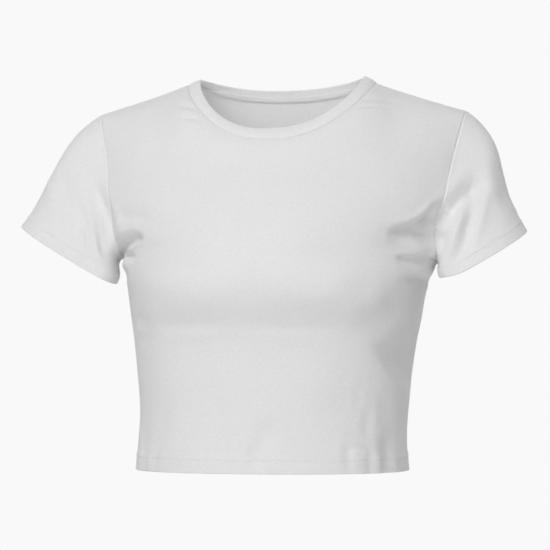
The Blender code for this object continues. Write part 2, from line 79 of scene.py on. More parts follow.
# %% Section tables
Section = namedtuple("Section", "mid_height side_height half_width mid_depth side_depth turn square")
SIDE_DEPTH, ROUND = -6, 2.0
BOTH_PANELS = (         # mm: height, its side's height, half width, depths of front and back; squareness of both
    (-408.5, -408.5, 140.8, -103, 83, 2.30, 2.30),    # hem
    (-390.0, -390.0, 140.5, -102, 81, 2.30, 2.30),    # above the hem
    (-360.0, -360.0, 139.7, -101, 78, 2.30, 2.30),    # waist
    (-305.0, -305.0, 144.2, -104, 80, 2.35, 2.30),    # ribs
    (-265.0, -265.0, 149.0, -111, 86, 2.40, 2.30),    # under the chest
    (-232.0, -232.0, 153.5, -125, 91, 2.40, 2.30),    # lower chest
    (-205.0, -208.0, 158.0, -130, 95, 2.30, 2.20),    # full chest
    (-183.0, -191.0, 163.5, -127, 97, 2.00, 2.00),    # underarm
)
ONE_PANEL = {           # mm: height, its side's height, half width, depths in the middle and at the side; turn
    "front": ((-163, -183.5, 165.5, -121, -31, 74),   # low armhole
              (-128, -139, 172.5, -106, -45, 58),     # across the chest
              (-92, -85, 181, -86, -26, 50)),         # collar bones
    "back": ((-160, -177, 169, 97, 28, 74),           # low armhole
             (-115, -133, 177, 93, 50, 58),           # shoulder blades
             (-65, -78, 185, 76, 42, 50)),            # yoke
}
SECTIONS = {}
for number, (facing, upper) in enumerate(ONE_PANEL.items()):
    rows = [(*row[:3], row[3 + number], SIDE_DEPTH, 90, row[5 + number]) for row in BOTH_PANELS]
    rows += [(*row, ROUND) for row in upper]
    SECTIONS[facing] = [Section(*(size / 1000.0 for size in row[:5]), *row[5:]) for row in rows]
UNDERARM_SECTION = 7
UNDERARM_PULLS = (      # x, z, reach, and how far the cloth sits across and up from its even place
    (-0.1635, -0.1860, 0.0200, 0.0010, 0.0035),
    (-0.1680, -0.1600, 0.0150, -0.0042, 0.0000),
    (0.1640, -0.1900, 0.0200, 0.0018, -0.0025),
)
CORNER_POWER = 10       # how closely the corner at the underarm keeps to the side
NECK_BLEND = 0.22       # share of the neckline over which the cloth turns into the band
CORNER_SHARE = 0.19     # share of a section outside the line up to the neck corner
SIDE_WEIGHT, NECK_WEIGHT = 8, {"front": 20, "back": 14}   # how the corner is shared across a panel

Ring = namedtuple("Ring", "half_width front back side_height tilt front_height back_height "
                          "dip back_dip turn square")
NECK_SEAM = Ring(0.0986, -0.0720, 0.0510, -0.0066, 0.0000, -0.0666, -0.0235, 1.62, 1.85, 3.0, 2.2)
NECK_EDGE = Ring(0.0859, -0.0625, 0.0468, -0.0002, 0.0008, -0.0552, -0.0112, 1.42, 2.15, 4.6, 2.3)

Sleeve = namedtuple("Sleeve", "side centre outward depth front_drop square under_square under_ahead under_lift "
                              "slope fullness end straight")
SLEEVES = {
    "sleeve_left": Sleeve(-1, (-0.2236, -0.014, -0.1856), (-0.0506, 0.0, 0.0300), 0.038,
                          0.001, 2.2, 2.3, 0.012, 0.001, 28.0, 1.20, (-0.62, -0.05, -0.78), 1.05),
    "sleeve_right": Sleeve(1, (0.2115, -0.014, -0.1875), (0.0446, 0.0, 0.0250), 0.038,
                           0.006, 2.2, 2.2, 0.004, 0.0060, 34.0, 1.15, (0.50, -0.05, -0.86), 1.30),
}
CAP_FRONT = (0.80, 0.00, -0.58)
CAP_BACK = (0.75, 0.34, -0.56)
CAP_UNDER = {"sleeve_left": (0.95, 0.0, -0.30), "sleeve_right": (0.60, 0.0, -0.80)}
UNDER_POWER = 6         # how closely the cloth keeps to the underarm seam before it turns to the front
print("sections:", {facing: len(rows) for facing, rows in SECTIONS.items()})

# %% [markdown]
# ## Lines of points
# A few small functions do all the drawing: mix between two values, spread points evenly along a line,
# draw them closer together where a seam needs fine shape, and make smooth random numbers for the
# unevenness that real cloth has. The random numbers have fixed seeds, so each run sews the same shirt.

# %% Helpers for lines
def mix(a, b, share):
    """The value a share of the way from a to b."""
    return a + (b - a) * share


def unit(vectors):
    """The same directions, one metre long."""
    vectors = np.asarray(vectors, float)
    return vectors / np.maximum(np.linalg.norm(vectors, axis=-1, keepdims=True), 1e-12)


def smooth_step(value, low, high):
    """0 below low, 1 above high and a soft ramp between."""
    t = np.clip((value - low) / (high - low), 0.0, 1.0)
    return t * t * (3.0 - 2.0 * t)


def bell(gap, width):
    """1 where the gap is 0, falling softly to nothing beyond this width."""
    return np.exp(-((gap / width) ** 2))


def lengths_along(points):
    """How far along a line of points each one lies."""
    return np.concatenate([[0.0], np.cumsum(np.linalg.norm(np.diff(points, axis=0), axis=1))])


def sample(wanted, along, values):
    """The values of a line of points at the wanted distances along it."""
    return np.stack([np.interp(wanted, along, values[:, axis]) for axis in range(3)], axis=-1)


def evenly(points, shares):
    """Points at the given shares of the length of a dense line of points."""
    along = lengths_along(points)
    return sample(shares * along[-1], along, points)


def graded(count, at_start=1.0, at_end=1.0, reach=0.05):
    """count + 1 shares from 0 to 1, with steps this much smaller at the start or the end."""
    dense = np.linspace(0.0, 1.0, 4001)
    step = 1.0 - (1.0 - at_start) * np.exp(-dense / reach) - (1.0 - at_end) * np.exp((dense - 1.0) / reach)
    counted = np.concatenate([[0.0], np.cumsum(1.0 / step[1:])])
    return np.interp(np.linspace(0.0, counted[-1], count + 1), counted, dense)


LINE_KNOTS, FIELD_KNOTS = 997, 211
SEEDS = {"puff": 5, "rope": 6, "wave": 11, "fine wave": 12, "pucker": 13}


def uneven(place, size, use):
    """A smooth random value from -1 to 1 that changes over about this size."""
    knots = np.random.RandomState(SEEDS[use]).uniform(-1.0, 1.0, LINE_KNOTS)
    place = np.asarray(place) / size + 300.0
    low = np.floor(place).astype(int)
    return mix(knots[low % LINE_KNOTS], knots[(low + 1) % LINE_KNOTS], smooth_step(place - low, 0.0, 1.0))


def uneven_field(across, up, size_across, size_up, use):
    """The same over a surface."""
    knots = np.random.RandomState(SEEDS[use]).uniform(-1.0, 1.0, (FIELD_KNOTS, FIELD_KNOTS))
    u, v = across / size_across + 60.0, up / size_up + 60.0
    i, j = np.floor(u).astype(int), np.floor(v).astype(int)
    s, t = smooth_step(u - i, 0.0, 1.0), smooth_step(v - j, 0.0, 1.0)
    i, next_i, j, next_j = (n % FIELD_KNOTS for n in (i, i + 1, j, j + 1))
    return mix(mix(knots[i, j], knots[next_i, j], s), mix(knots[i, next_j], knots[next_i, next_j], s), t)


print("five shares, closer at the start:", np.round(graded(4, at_start=0.2, reach=0.3), 2))

# %% [markdown]
# ## The body's surface
# Every column of points runs from the hem through the sections to the shoulder seam or the neckline,
# on a curve that bends evenly. First come the lines across: each section and the top edge are a row
# of points from one side to the other.

# %% Lines across a panel
def section_line(section, shares):
    """One section from the -X side to the +X side, its points at even shares of its length."""
    across = np.linspace(-1.0, 1.0, 361)
    turn = np.radians(section.turn)
    reach = np.abs(np.sin(turn * across) / np.sin(turn)) ** (2.0 / section.square)
    bow = np.clip((np.cos(turn * across) - np.cos(turn)) / (1.0 - np.cos(turn)), 0.0, 1.0)
    x = section.half_width * np.sign(across) * reach
    y = mix(section.side_depth, section.mid_depth, bow ** (2.0 / section.square))
    z = mix(section.mid_height, section.side_height, across**2)
    return evenly(np.stack([x, y, z], axis=1), shares)


def neck_points(ring, angles):
    """Points of a neck ring: 0 degrees is the shoulder at +X, 90 the front and 270 the back."""
    angles = np.radians(np.asarray(angles, float))
    ahead, aside = np.sin(angles), np.cos(angles)
    dip = np.abs(np.sin(angles - np.radians(ring.turn) * ahead)) ** np.where(ahead > 0.0, ring.dip, ring.back_dip)
    lowest = np.where(ahead > 0.0, ring.front_height, ring.back_height)
    deepest = np.where(ahead > 0.0, ring.front, ring.back)
    x = ring.half_width * np.sign(aside) * np.abs(aside) ** (2.0 / ring.square)
    y = deepest * np.abs(ahead) ** (2.0 / ring.square)
    return np.stack([x, y, mix(ring.side_height + ring.tilt * aside, lowest, dip)], axis=1)


def neck_line(ring, facing, shares):
    """The front or back half of a neck ring from -X to +X."""
    return evenly(neck_points(ring, np.linspace(180.0, 0.0 if facing == "front" else 360.0, 181)), shares)


def shoulder_line(corner, tip, shares):
    """A shoulder seam from the neck to the tip, with a slight sag."""
    line = mix(np.asarray(corner, float), np.asarray(tip, float), shares[:, None])
    line[:, 2] -= SHOULDER_SAG * np.sin(np.pi * shares)
    return line


def panel_stations(facing, neck_columns, side_shares):
    """The sections and the top edge of a panel, as rows of points from -X to +X."""
    out = CORNER_SHARE * side_shares
    across = np.linspace(CORNER_SHARE, 1.0 - CORNER_SHARE, neck_columns + 1)
    shares = np.concatenate([out[:-1], across, 1.0 - out[::-1][1:]])
    rows = [section_line(section, shares) for section in SECTIONS[facing]]
    neck = neck_line(NECK_SEAM, facing, np.linspace(0.0, 1.0, neck_columns + 1))
    tip, from_neck = np.array(SHOULDER_TIP), 1.0 - side_shares[::-1]
    left = shoulder_line(neck[0], tip * (-1, 1, 1), from_neck)[::-1]
    right = shoulder_line(neck[-1], tip, from_neck)
    return np.array(rows + [np.concatenate([left[:-1], neck, right[1:]])])


def section_places():
    """How far up the cloth each section lies from the hem, the same for front and back."""
    even = np.linspace(0.0, 1.0, SIDE_WEIGHT + 1)
    stations = [panel_stations(facing, NECK_WEIGHT["front"], even) for facing in SECTIONS]
    gaps = [np.linalg.norm(np.diff(rows, axis=0), axis=2).mean(axis=1) for rows in stations]
    return np.concatenate([[0.0], np.cumsum(np.mean(gaps, axis=0))])


print("sections lie at", np.round(section_places(), 3), "m up the cloth")

# %% [markdown]
# ### Curves up a panel
# A curve needs a way, that is a direction and a speed, at each section that it passes. In the middle of
# a panel the ways are solved so that the curve bends evenly. At the sides each way follows only the
# nearest sections, because there the seam may turn faster.

# %% Ways of the curves
def top_ways(facing, top, neck_columns, side_shares):
    """The way the cloth runs at its top edge: over the shoulder, or up into the neckband."""
    sides = len(side_shares) - 1
    over = np.array([0.0, 1.0 if facing == "front" else -1.0, 0.0])
    edge = neck_line(NECK_EDGE, facing, np.linspace(0.0, 1.0, neck_columns + 1))
    into_band = unit(edge - top[sides:sides + neck_columns + 1])
    corners = [unit(over + into_band[end]) for end in (0, -1)]
    out = smooth_step(1.0 - side_shares[::-1], 0.0, 1.0)[:, None]
    across = np.linspace(0.0, 1.0, neck_columns + 1)[:, None]
    inside = smooth_step(np.minimum(across, 1.0 - across), 0.0, NECK_BLEND)
    neck = mix(np.where(across < 0.5, corners[0], corners[1]), into_band, inside)
    return np.concatenate([mix(corners[0], over, out)[::-1][:-1], neck, mix(corners[1], over, out)[1:]])


def smooth_ways(stations, places, last_way):
    """The way each curve runs through its stations, so that it bends evenly between them."""
    count, steps = len(places), np.diff(places)
    slopes = np.diff(stations, axis=0) / steps[:, None, None]
    weights, pulls = np.zeros((count, count)), np.empty_like(stations)
    weights[0, :2], pulls[0] = (2.0, 1.0), 3.0 * slopes[0]
    for i in range(1, count - 1):
        weights[i, i - 1:i + 2] = (1 / steps[i - 1], 2 / steps[i - 1] + 2 / steps[i], 1 / steps[i])
        pulls[i] = 3.0 * (slopes[i - 1] / steps[i - 1] + slopes[i] / steps[i])
    weights[-1, -1] = 1.0
    pulls[-1] = unit(last_way) * np.linalg.norm(slopes[-1], axis=1, keepdims=True)
    return np.linalg.solve(weights, pulls.reshape(count, -1)).reshape(stations.shape)


def edge_ways(stations, places):
    """The same for the sides of a panel, where each way follows only the two nearest stations."""
    steps = np.diff(places)
    slopes = np.diff(stations, axis=0) / steps[:, None, None]
    before, after = steps[:-1, None, None], steps[1:, None, None]
    between = (slopes[:-1] * after + slopes[1:] * before) / (before + after)
    return np.concatenate([slopes[:1], between, slopes[-1:]])


def hermite(a, b, leave, arrive, t):
    """A smooth curve from a to b that leaves and arrives in the given ways."""
    return (a * (2 * t**3 - 3 * t**2 + 1) + b * (3 * t**2 - 2 * t**3)
            + leave * (t**3 - 2 * t**2 + t) + arrive * (t**3 - t**2))


print("half way along a curve from 0 to 1:", hermite(0.0, 1.0, 1.0, 1.0, 0.5))

# %% [markdown]
# ### Stance and panel
# At the underarm the side seam turns sharply into the armhole, so there the outermost columns leave in
# another way than they arrive. At the end the whole panel takes the slight stance of a body.

# %% Draw a panel
def pose(points):
    """The slight stance: the body swings to one side, the shoulders tilt and the underarms differ."""
    posed = points.copy()
    for x, z, reach, across, up in UNDERARM_PULLS:
        near = np.exp(-((points[..., 0] - x) ** 2 + (points[..., 2] - z) ** 2) / reach**2)
        posed[..., 0] += across * near
        posed[..., 2] += up * near
    posed[..., 0] += LEAN * np.minimum(points[..., 2] - LEAN_FROM, 0.0)
    posed[..., 2] += SHOULDER_TILT * points[..., 0] * smooth_step(points[..., 2], TILT_FROM, TILT_FROM / 2)
    return posed


def panel_points(facing, neck_columns, side_shares, wanted):
    """A panel as rows of points at the wanted distances up from the hem, each from -X to +X."""
    stations, places = panel_stations(facing, neck_columns, side_shares), section_places()
    steps = np.diff(places)
    slopes = np.diff(stations, axis=0) / steps[:, None, None]
    weight = NECK_WEIGHT[facing]
    half = SIDE_WEIGHT + weight / 2.0
    middle = np.linspace(-weight / 2.0, weight / 2.0, neck_columns + 1)
    out = half - SIDE_WEIGHT * side_shares
    across = np.concatenate([-out[:-1], middle, out[::-1][1:]]) / half
    side = np.abs(across)[:, None] ** CORNER_POWER
    smooth = smooth_ways(stations, places, top_ways(facing, stations[-1], neck_columns, side_shares))
    leave = mix(smooth, edge_ways(stations, places), side)
    leave[-1] = smooth[-1]
    arrive, under = leave.copy(), UNDERARM_SECTION
    arrive[under] = mix(smooth[under], slopes[under - 1], side)
    leave[under] = mix(smooth[under], slopes[under], side)
    rows = []
    for place in wanted:
        i = int(np.clip(np.searchsorted(places, place) - 1, 0, len(steps) - 1))
        rows.append(hermite(stations[i], stations[i + 1], leave[i] * steps[i], arrive[i + 1] * steps[i],
                            (place - places[i]) / steps[i]))
    return pose(np.array(rows))


hem_middle = np.array([[0.0, 0.0, SECTIONS["front"][0].mid_height]])
print("the stance moves the middle of the hem by %.1f mm" % (1000.0 * pose(hem_middle)[0, 0]))

# %% [markdown]
# ## Grid of a panel
# The grid is drawn finer where the sewing is: along the sides, near the top edge and over the hem.
# Elsewhere a point every two millimetres is enough for jersey that hangs smoothly.

# %% Rows and columns
SIDE_SHARES = graded(34, at_start=0.25, reach=0.06)
NECK_COLUMNS = 104
PLACES = section_places()
UNDERARM = PLACES[UNDERARM_SECTION]
HEM_TOP = BODY_HEM + 0.0042
HEM_ROWS = np.linspace(FOLD_RADIUS, HEM_TOP, 30)
BELOW = mix(HEM_TOP, UNDERARM, graded(104, at_start=0.6, at_end=0.45, reach=0.12))
ABOVE = mix(UNDERARM, PLACES[-1], graded(98, at_start=0.45, at_end=0.25, reach=0.10))
WANTED = np.concatenate([HEM_ROWS[:-1], BELOW, ABOVE[1:]])
UNDERARM_ROW = len(HEM_ROWS) - 1 + len(BELOW) - 1

panels = {facing: panel_points(facing, NECK_COLUMNS, SIDE_SHARES, WANTED) for facing in SECTIONS}
for edge in (0, -1):
    panels["back"][:UNDERARM_ROW + 1, edge] = panels["front"][:UNDERARM_ROW + 1, edge]
print("grid of a panel:", panels["front"].shape[:2], "underarm at", round(UNDERARM, 4), "m up the cloth")

# %% [markdown]
# ## Sleeves and neckband
# A set-in sleeve starts on the armhole, point by point, and runs to an oval cuff. The neckband starts
# on the neckline and stands up to its folded edge. Both share their first ring with the panels, which
# is what sewing does.

# %% Rings of sleeves and neckband
def sleeve_points(sleeve, under, armhole, shares):
    """A sleeve as rings of points, from the armhole down to the cuff."""
    along = lengths_along(armhole)
    top = int(np.argmax(armhole[:, 2]))
    up = 180.0 - 180.0 * along[: top + 1] / along[top]
    down = -180.0 * (along[top:] - along[top]) / (along[-1] - along[top])
    angles = np.radians(np.concatenate([up, down[1:]]))
    cosine, sine = np.cos(angles)[:, None], np.sin(angles)[:, None]
    power = 2.0 / np.where(cosine < 0.0, sleeve.under_square, sleeve.square)
    outward, forward = np.sign(cosine) * np.abs(cosine) ** power, np.sign(sine) * np.abs(sine) ** power
    cuff = (np.array(sleeve.centre) + np.array(sleeve.outward) * outward
            + np.array([0.0, -sleeve.depth, -sleeve.front_drop]) * forward
            + np.array([0.0, -sleeve.under_ahead, sleeve.under_lift]) * smooth_step(-outward, 0.35, 1.1))
    mirror, fall = np.array([sleeve.side, 1.0, 1.0]), np.radians(sleeve.slope)
    top_way, under_way = np.array([np.cos(fall), 0.0, -np.sin(fall)]) * mirror, np.array(under) * mirror
    front_way, back_way = np.array(CAP_FRONT) * mirror, np.array(CAP_BACK) * mirror
    weight = np.where(cosine > 0, cosine**2, cosine**UNDER_POWER)
    start = (np.where(cosine > 0, top_way, under_way) * weight
             + np.where(sine > 0, front_way, back_way) * (1.0 - weight))
    length = np.linalg.norm(cuff - armhole, axis=1, keepdims=True)
    leave = unit(start) * length * sleeve.fullness
    arrive = unit(np.tile(sleeve.end, (len(armhole), 1))) * length * sleeve.straight
    ends = shares * (1.0 - FOLD_RADIUS / length.mean())
    return np.array([hermite(armhole, cuff, leave, arrive, t) for t in ends])


def armhole_line(side):
    """The armhole from the underarm up the front and down the back."""
    edge = -1 if side > 0 else 0
    front, back = panels["front"][UNDERARM_ROW:, edge], panels["back"][UNDERARM_ROW:, edge]
    return np.concatenate([front, back[::-1][1:]])


def band_lines():
    """The neck seam and the band's free edge, each as a closed ring from -X round the front."""
    sides = len(SIDE_SHARES) - 1
    neck = np.s_[sides:sides + NECK_COLUMNS + 1]
    seam = np.concatenate([panels["front"][-1, neck], panels["back"][-1, neck][::-1][1:]])
    shares = np.linspace(0.0, 1.0, NECK_COLUMNS + 1)
    front, back = (neck_line(NECK_EDGE, facing, shares) for facing in SECTIONS)
    return seam, pose(np.concatenate([front, back[::-1][1:]]))


SLEEVE_SHARES = np.concatenate([0.86 * graded(58, at_start=0.25, reach=0.05)[:-1], np.linspace(0.86, 1.0, 30)])
rings = {name: sleeve_points(sleeve, CAP_UNDER[name], armhole_line(sleeve.side), SLEEVE_SHARES)
         for name, sleeve in SLEEVES.items()}
print("grid of a sleeve:", rings["sleeve_left"].shape[:2])

# %% [markdown]
# ## Relief: creases, seams and hems
# The base surface is smooth. Everything that gives it life is added along its normals: soft troughs
# and ridges, a dip at each seam, and the two needle rows of a coverstitched hem. This
# keeps every piece where the imported model has it, within a few millimetres.

# %% Normals and distances on a grid
def sheet_normals(points, closed):
    """The direction square to a grid of points at each of them."""
    up = np.gradient(points, axis=0)
    if closed:
        ring = points[:, :-1]
        across = np.roll(ring, -1, axis=1) - np.roll(ring, 1, axis=1)
        across = np.concatenate([across, across[:, :1]], axis=1)
    else:
        across = np.gradient(points, axis=1)
    return unit(np.cross(across, up))


def distances(points):
    """How far each point lies from the first row and the first column, along the cloth."""
    rows = np.linalg.norm(np.diff(points, axis=0), axis=2)
    columns = np.linalg.norm(np.diff(points, axis=1), axis=2)
    up = np.concatenate([np.zeros((1, points.shape[1])), np.cumsum(rows, axis=0)])
    across = np.concatenate([np.zeros((points.shape[0], 1)), np.cumsum(columns, axis=1)], axis=1)
    return up, across


print("the front is %.3f m wide at its hem" % distances(panels["front"])[1][0, -1])

# %% [markdown]
# Beside the collar bones the curves up to the shoulder and those up to the neckline part ways, which
# leaves a faint furrow between them. Real cloth bridges it. So the rows are drawn smoother across, and
# what that takes from the large form is given back.

# %% Bridge the furrows
def spread(values, before, after, free, rounds):
    """Values of a grid evened out along its rows."""
    for _ in range(rounds):
        values = values.copy()
        even = (values[:, :-2] * after + values[:, 2:] * before) / (before + after)
        values[:, 1:-1] = mix(values[:, 1:-1], even, free)
    return values


for facing in panels:
    rough = panels[facing][UNDERARM_ROW:]
    up, across = distances(rough)
    gaps = np.diff(across, axis=1)
    to_edge = np.minimum(np.minimum(across, across[:, -1:] - across), up[-1:] - up)
    free = 0.5 * (smooth_step(to_edge, 0.0, 0.016) * smooth_step(up, 0.0, 0.030))[:, 1:-1, None]
    settings = (gaps[:, :-1, None], gaps[:, 1:, None], free, 90)
    even = spread(rough, *settings)
    smooth = even + spread(rough - even, *settings)
    print("%s evened by up to %.1f mm" % (facing, 1000.0 * np.abs(smooth - rough).max()))
    panels[facing][UNDERARM_ROW:] = smooth

# %% [markdown]
# ### How a crease is drawn
# A crease is a line in X and Z that bows sideways between its ends. It is deepest in its middle, one
# side of it may be steeper, and the cloth that it takes up stands beside it as a low swell. The swell
# is what makes a crease look pushed into the cloth and not cut out of it.

# %% Creases on a surface
Crease = namedtuple("Crease", "x0 z0 x1 z1 width depth bow steep", defaults=(0.0, 0.0))
SWELL, SWELL_AT, SWELL_WIDTH = 0.22, 1.9, 0.5   # the swell beside a crease: its height, place and width


def crease_height(points, rows):
    """The height that troughs (depth above 0) and ridges (below 0) add to a surface."""
    flat, height = points[..., [0, 2]], np.zeros(points.shape[:2])
    t = np.linspace(0.0, 1.0, 33)[:, None]
    for row in rows:
        crease = Crease(*(size / 1000.0 for size in row[:7]), *row[7:])
        start, end = np.array(crease[:2]), np.array(crease[2:4])
        run = end - start
        side = np.array([-run[1], run[0]]) / np.linalg.norm(run)
        path = mix(start, end, t) + side * crease.bow * 4.0 * t * (1.0 - t)
        reach = np.linalg.norm(run) / 2 + 4 * crease.width * (1.0 + abs(crease.steep)) + abs(crease.bow)
        near = np.linalg.norm(flat - (start + end) / 2.0, axis=-1) < reach
        gap = flat[near][:, None, :] - path[None]
        square = np.sum(gap**2, axis=-1)
        closest = np.argmin(square, axis=1)
        nearest = np.arange(len(closest)), closest
        share = t[closest, 0]
        deep = crease.depth * smooth_step(np.minimum(share, 1.0 - share), -0.06, 0.32)
        lean = crease.steep * np.tanh(np.sum(gap[nearest] * side, axis=-1) / crease.width)
        ratio = np.sqrt(square[nearest]) / (crease.width * (1.0 + lean))
        beside = SWELL * deep * np.clip(1.0 - 1.6 * lean, 0.0, 1.0)
        height[near] += beside * np.exp(-((ratio - SWELL_AT) ** 2) / SWELL_WIDTH) - deep * bell(ratio, 1.0)
    return height


trial = crease_height(np.zeros((1, 1, 3)), [(-10, 0, 10, 0, 5, 2)])
print("a crease 2 mm deep lowers its middle by %.1f mm" % (-1000.0 * trial[0, 0]))

# %% [markdown]
# ### The creases
# Each row is one crease, as soft and as uneven as jersey makes them: pulls at the underarms, short
# drags beside the neckband, a slack ripple under the chest, and puckers that start at the hem.

# %% Crease tables
CREASES = {             # mm: x0, z0, x1, z1, width, depth, and where it has them bow and steep
    "front": (
        # underarm at -X
        (-172, -150, -125, -146, 7.5, 2.2, 1, 0.2), (-166, -157, -130, -160, 6, -0.7, 1),
        (-169, -185, -134, -166.5, 5.4, 7.4, 2.2, 0.45), (-166, -183, -148, -180, 3, -1),
        (-162, -186, -142, -187.2, 3.6, 3), (-168, -196, -148, -196, 5.5, -2.4),
        # underarm at +X
        (173.5, -131, 118, -164, 8.6, 11.6, 10.5, 0.4), (174, -170, 144, -166, 6.2, 5.6),
        (167.2, -140, 165, -183, 6.4, 6.4, 0, -0.5), (166.8, -137, 165.5, -164, 2.2, -2.8),
        (158, -183.5, 138, -181.5, 3.6, -0.9), (162, -191.5, 126, -188.5, 4.4, 4.8, 0, 0.4),
        (154, -201, 143, -201, 3.2, -1.4), (156, -208.5, 137, -211.5, 4.2, 3.2, 0, 0.2),
        (115, -305, 158, -276, 28, 8),
        # beside the neckband
        (-106, -30, -83.5, -34.5, 2.2, 1.8, 0.5, 0.3), (-100, -43.5, -79, -45.8, 2.6, 1.3, 0.5, 0.3),
        (84, -26.2, 122, -27.3, 2, 2, 0.8, 0.4), (83.5, -33, 115, -32.2, 2.4, 1.5, 0.5, 0.4),
        # ribs at -X
        (-142.4, -243, -125.4, -260.9, 6.5, 1, -1), (-125.4, -261.4, -141.1, -279, 6, 0.9),
        (-145, -259.5, -133.3, -265.7, 3, -0.4),
        # under the chest
        (-126, -257.5, -30, -253, 10, 1.2, 0, 0.3), (-30, -257, 84, -258, 9, 1, 0, 0.3),
        (0, -240, 75, -241.3, 7, 0.6), (45, -226, 95, -222, 20, -1.6), (83, -260, 135.5, -226.4, 12, 3.2, -7),
        # lower body at -X
        (-106.5, -320, -117.5, -378, 6, 0.7), (-117.5, -376, -122.8, -412, 3.5, 1),
        (-129.4, -376, -127.9, -412, 3, -0.6), (-141, -372, -140.5, -415, 2.5, -1),
        (-136.7, -350, -137.5, -395, 4, 0.6),
        # middle
        (6, -350, -24, -418, 8.5, 2.2), (31.6, -330, 27.4, -373.4, 9, 0.4),
        # lower body at +X
        (69.4, -318, 69, -355, 5, 0.5), (78.1, -324.8, 76.9, -348.3, 4, 0.4), (89.8, -317.8, 87, -346, 4, 0.5),
        (97.5, -340, 95.8, -374, 4.5, 0.8), (113.3, -325, 114, -362, 5, 0.7),
        # hem at +X
        (79, -374, 78.5, -408, 5, 1.4), (76, -383.8, 112.9, -384.5, 1.8, 0.5, 1.5),
        (99.5, -384, 100.1, -413, 4, 1), (108.4, -385, 108.5, -413, 2.8, -0.7),
        (116.6, -360, 115.7, -422, 6, 2.7), (122.7, -386, 123.8, -413, 3, -0.6),
        (126, -387, 127.1, -413, 2.2, 0.9), (128.9, -384, 130.9, -415, 3, -0.9),
        # sleeve at -X
        (-200, -106, -172, -182, 7.8, 6, 5, -0.1), (-193, -144, -179, -190, 4.6, 2.8, 0, -0.2),
        (-199, -140, -186, -185, 3.6, -1.2), (-214, -120, -190, -185, 5.5, 3.2, 1),
        (-208, -145, -201, -176, 3, -0.8), (-236, -90, -213, -176, 8, 3.6, 2.8),
        # sleeve at +X
        (173.4, -135, 169, -185, 3.4, 4.8, 1.6), (170.7, -146, 168.8, -173, 1.6, -0.7),
        (170, -154, 212, -106, 8.2, 7.2, 1), (192, -126, 177.5, -193, 5, -2.6, 2),
        (208, -108, 186, -198, 5.8, 4.2, 3), (220, -106, 203, -170, 8, -1.6, 1),
        (224, -80, 242, -140, 7.5, 3.4),
    ),
    "behind": (
        # underarm at +X
        (168, -135, 115, -170, 8.5, 3.4, 6, -0.3), (164, -190, 130, -188, 5.5, 2.6),
        (156, -208, 130, -213, 5, 1.2),
        # underarm at -X
        (-172, -142, -123, -165, 8, 3, -5, 0.3), (-168, -188, -138, -185, 5, 2.4),
        # beside the neckband
        (-95, -24, -78, -30, 3, 0.6, 0, 0.2), (92, -23, 112, -27, 3, 0.6, 0, 0.2),
        # small of the back
        (-100, -301, 25, -308, 12, 1.7, -4, 0.2), (-20, -328, 105, -318, 11, 1.4, 3, 0.2),
        (-138, -278, -100, -292, 6, 1.4), (133, -288, 100, -301, 6, 1.3),
        # hem
        (-90, -350, -96, -412, 7, 1), (-35, -360, -30, -412, 8, 0.8), (48, -355, 53, -412, 7, 1),
        (105, -370, 106, -412, 4, 1.6), (118, -382, 119, -412, 3, -0.9),
        # sleeve at -X
        (-199, -115, -173, -180, 6, 2, -6), (-220, -118, -199, -170, 5, 1.1, 2),
        # sleeve at +X
        (195, -108, 173, -180, 6, 2.1, 5), (218, -112, 199, -175, 5, 1.2, -2),
    ),
}


def creased(points):
    """The height of all creases on any piece. It depends on the place alone, so neighbours agree."""
    behind = smooth_step(points[..., 1], -0.022, 0.018)
    return mix(crease_height(points, CREASES["front"]), crease_height(points, CREASES["behind"]), behind)


print("creases:", {side: len(rows) for side, rows in CREASES.items()})

# %% [markdown]
# ### Sewn edges
# Two pieces meet in a narrow dip, because their edges turn inside together. Both need the same
# direction there, or a crack opens, so the pieces' normals are averaged point by point on the seam
# and blended into each piece's own over a few millimetres.

# %% Pieces and their shared edges
class Cloth:
    """One piece: a grid of points on its outer face, and the direction that its face looks."""

    def __init__(self, name, points, closed, outward):
        self.name, self.points, self.closed, self.outward = name, points, closed, outward
        self.normals = sheet_normals(points, closed) * outward
        self.up, self.across = distances(points)

    def rim(self):
        """The place in the grid of every point on a sewn edge."""
        rows, columns = self.points.shape[:2]
        places = {(0 if self.closed else rows - 1, column) for column in range(columns)}
        if not self.closed:
            places |= {(row, column) for row in range(rows) for column in (0, columns - 1)}
        return places


def share_directions(pieces):
    """Give each point of a seam the mean of the directions of the pieces that meet there."""
    def key(place):
        return tuple(np.round(place / 0.00002).astype(int))

    sums, counts = {}, {}
    for piece in pieces:
        for row, column in piece.rim():
            cell = key(piece.points[row, column])
            sums[cell] = sums.get(cell, 0.0) + piece.normals[row, column]
            counts[cell] = counts.get(cell, 0) + 1
    for piece in pieces:
        piece.shared = piece.normals.copy()
        for row, column in piece.rim():
            piece.shared[row, column] = unit(sums[key(piece.points[row, column])])
    return counts


body = {facing: Cloth(facing, panels[facing], False, 1.0 if facing == "front" else -1.0) for facing in SECTIONS}
tubes = {name: Cloth(name, rings[name], True, 1.0 if SLEEVES[name].side < 0 else -1.0) for name in SLEEVES}
seam_ring, edge_ring = band_lines()
print("neck seam %.3f m round" % lengths_along(seam_ring)[-1])

# %% [markdown]
# ### How plainly a seam shows
# A seam isn't the same all the way. It lies flatter where the cloth is pulled over it and deeper where
# it hangs slack, and along the armholes and the sleeves' underarm seams a painted highlight makes the cloth a
# little paler.

# %% Shares of a seam
NECK_DIPS = (0.35, 1.0)         # the share at -X and at +X
ARMHOLE_DIPS = (        # at -X, then +X: in the middle, what is added above and below, and from where to where
    (0.08, (0.50, -0.085, -0.060), (0.45, 0.160, 0.178)),
    (0.20, (0.95, -0.095, -0.072), (0.60, 0.150, 0.170)),
)


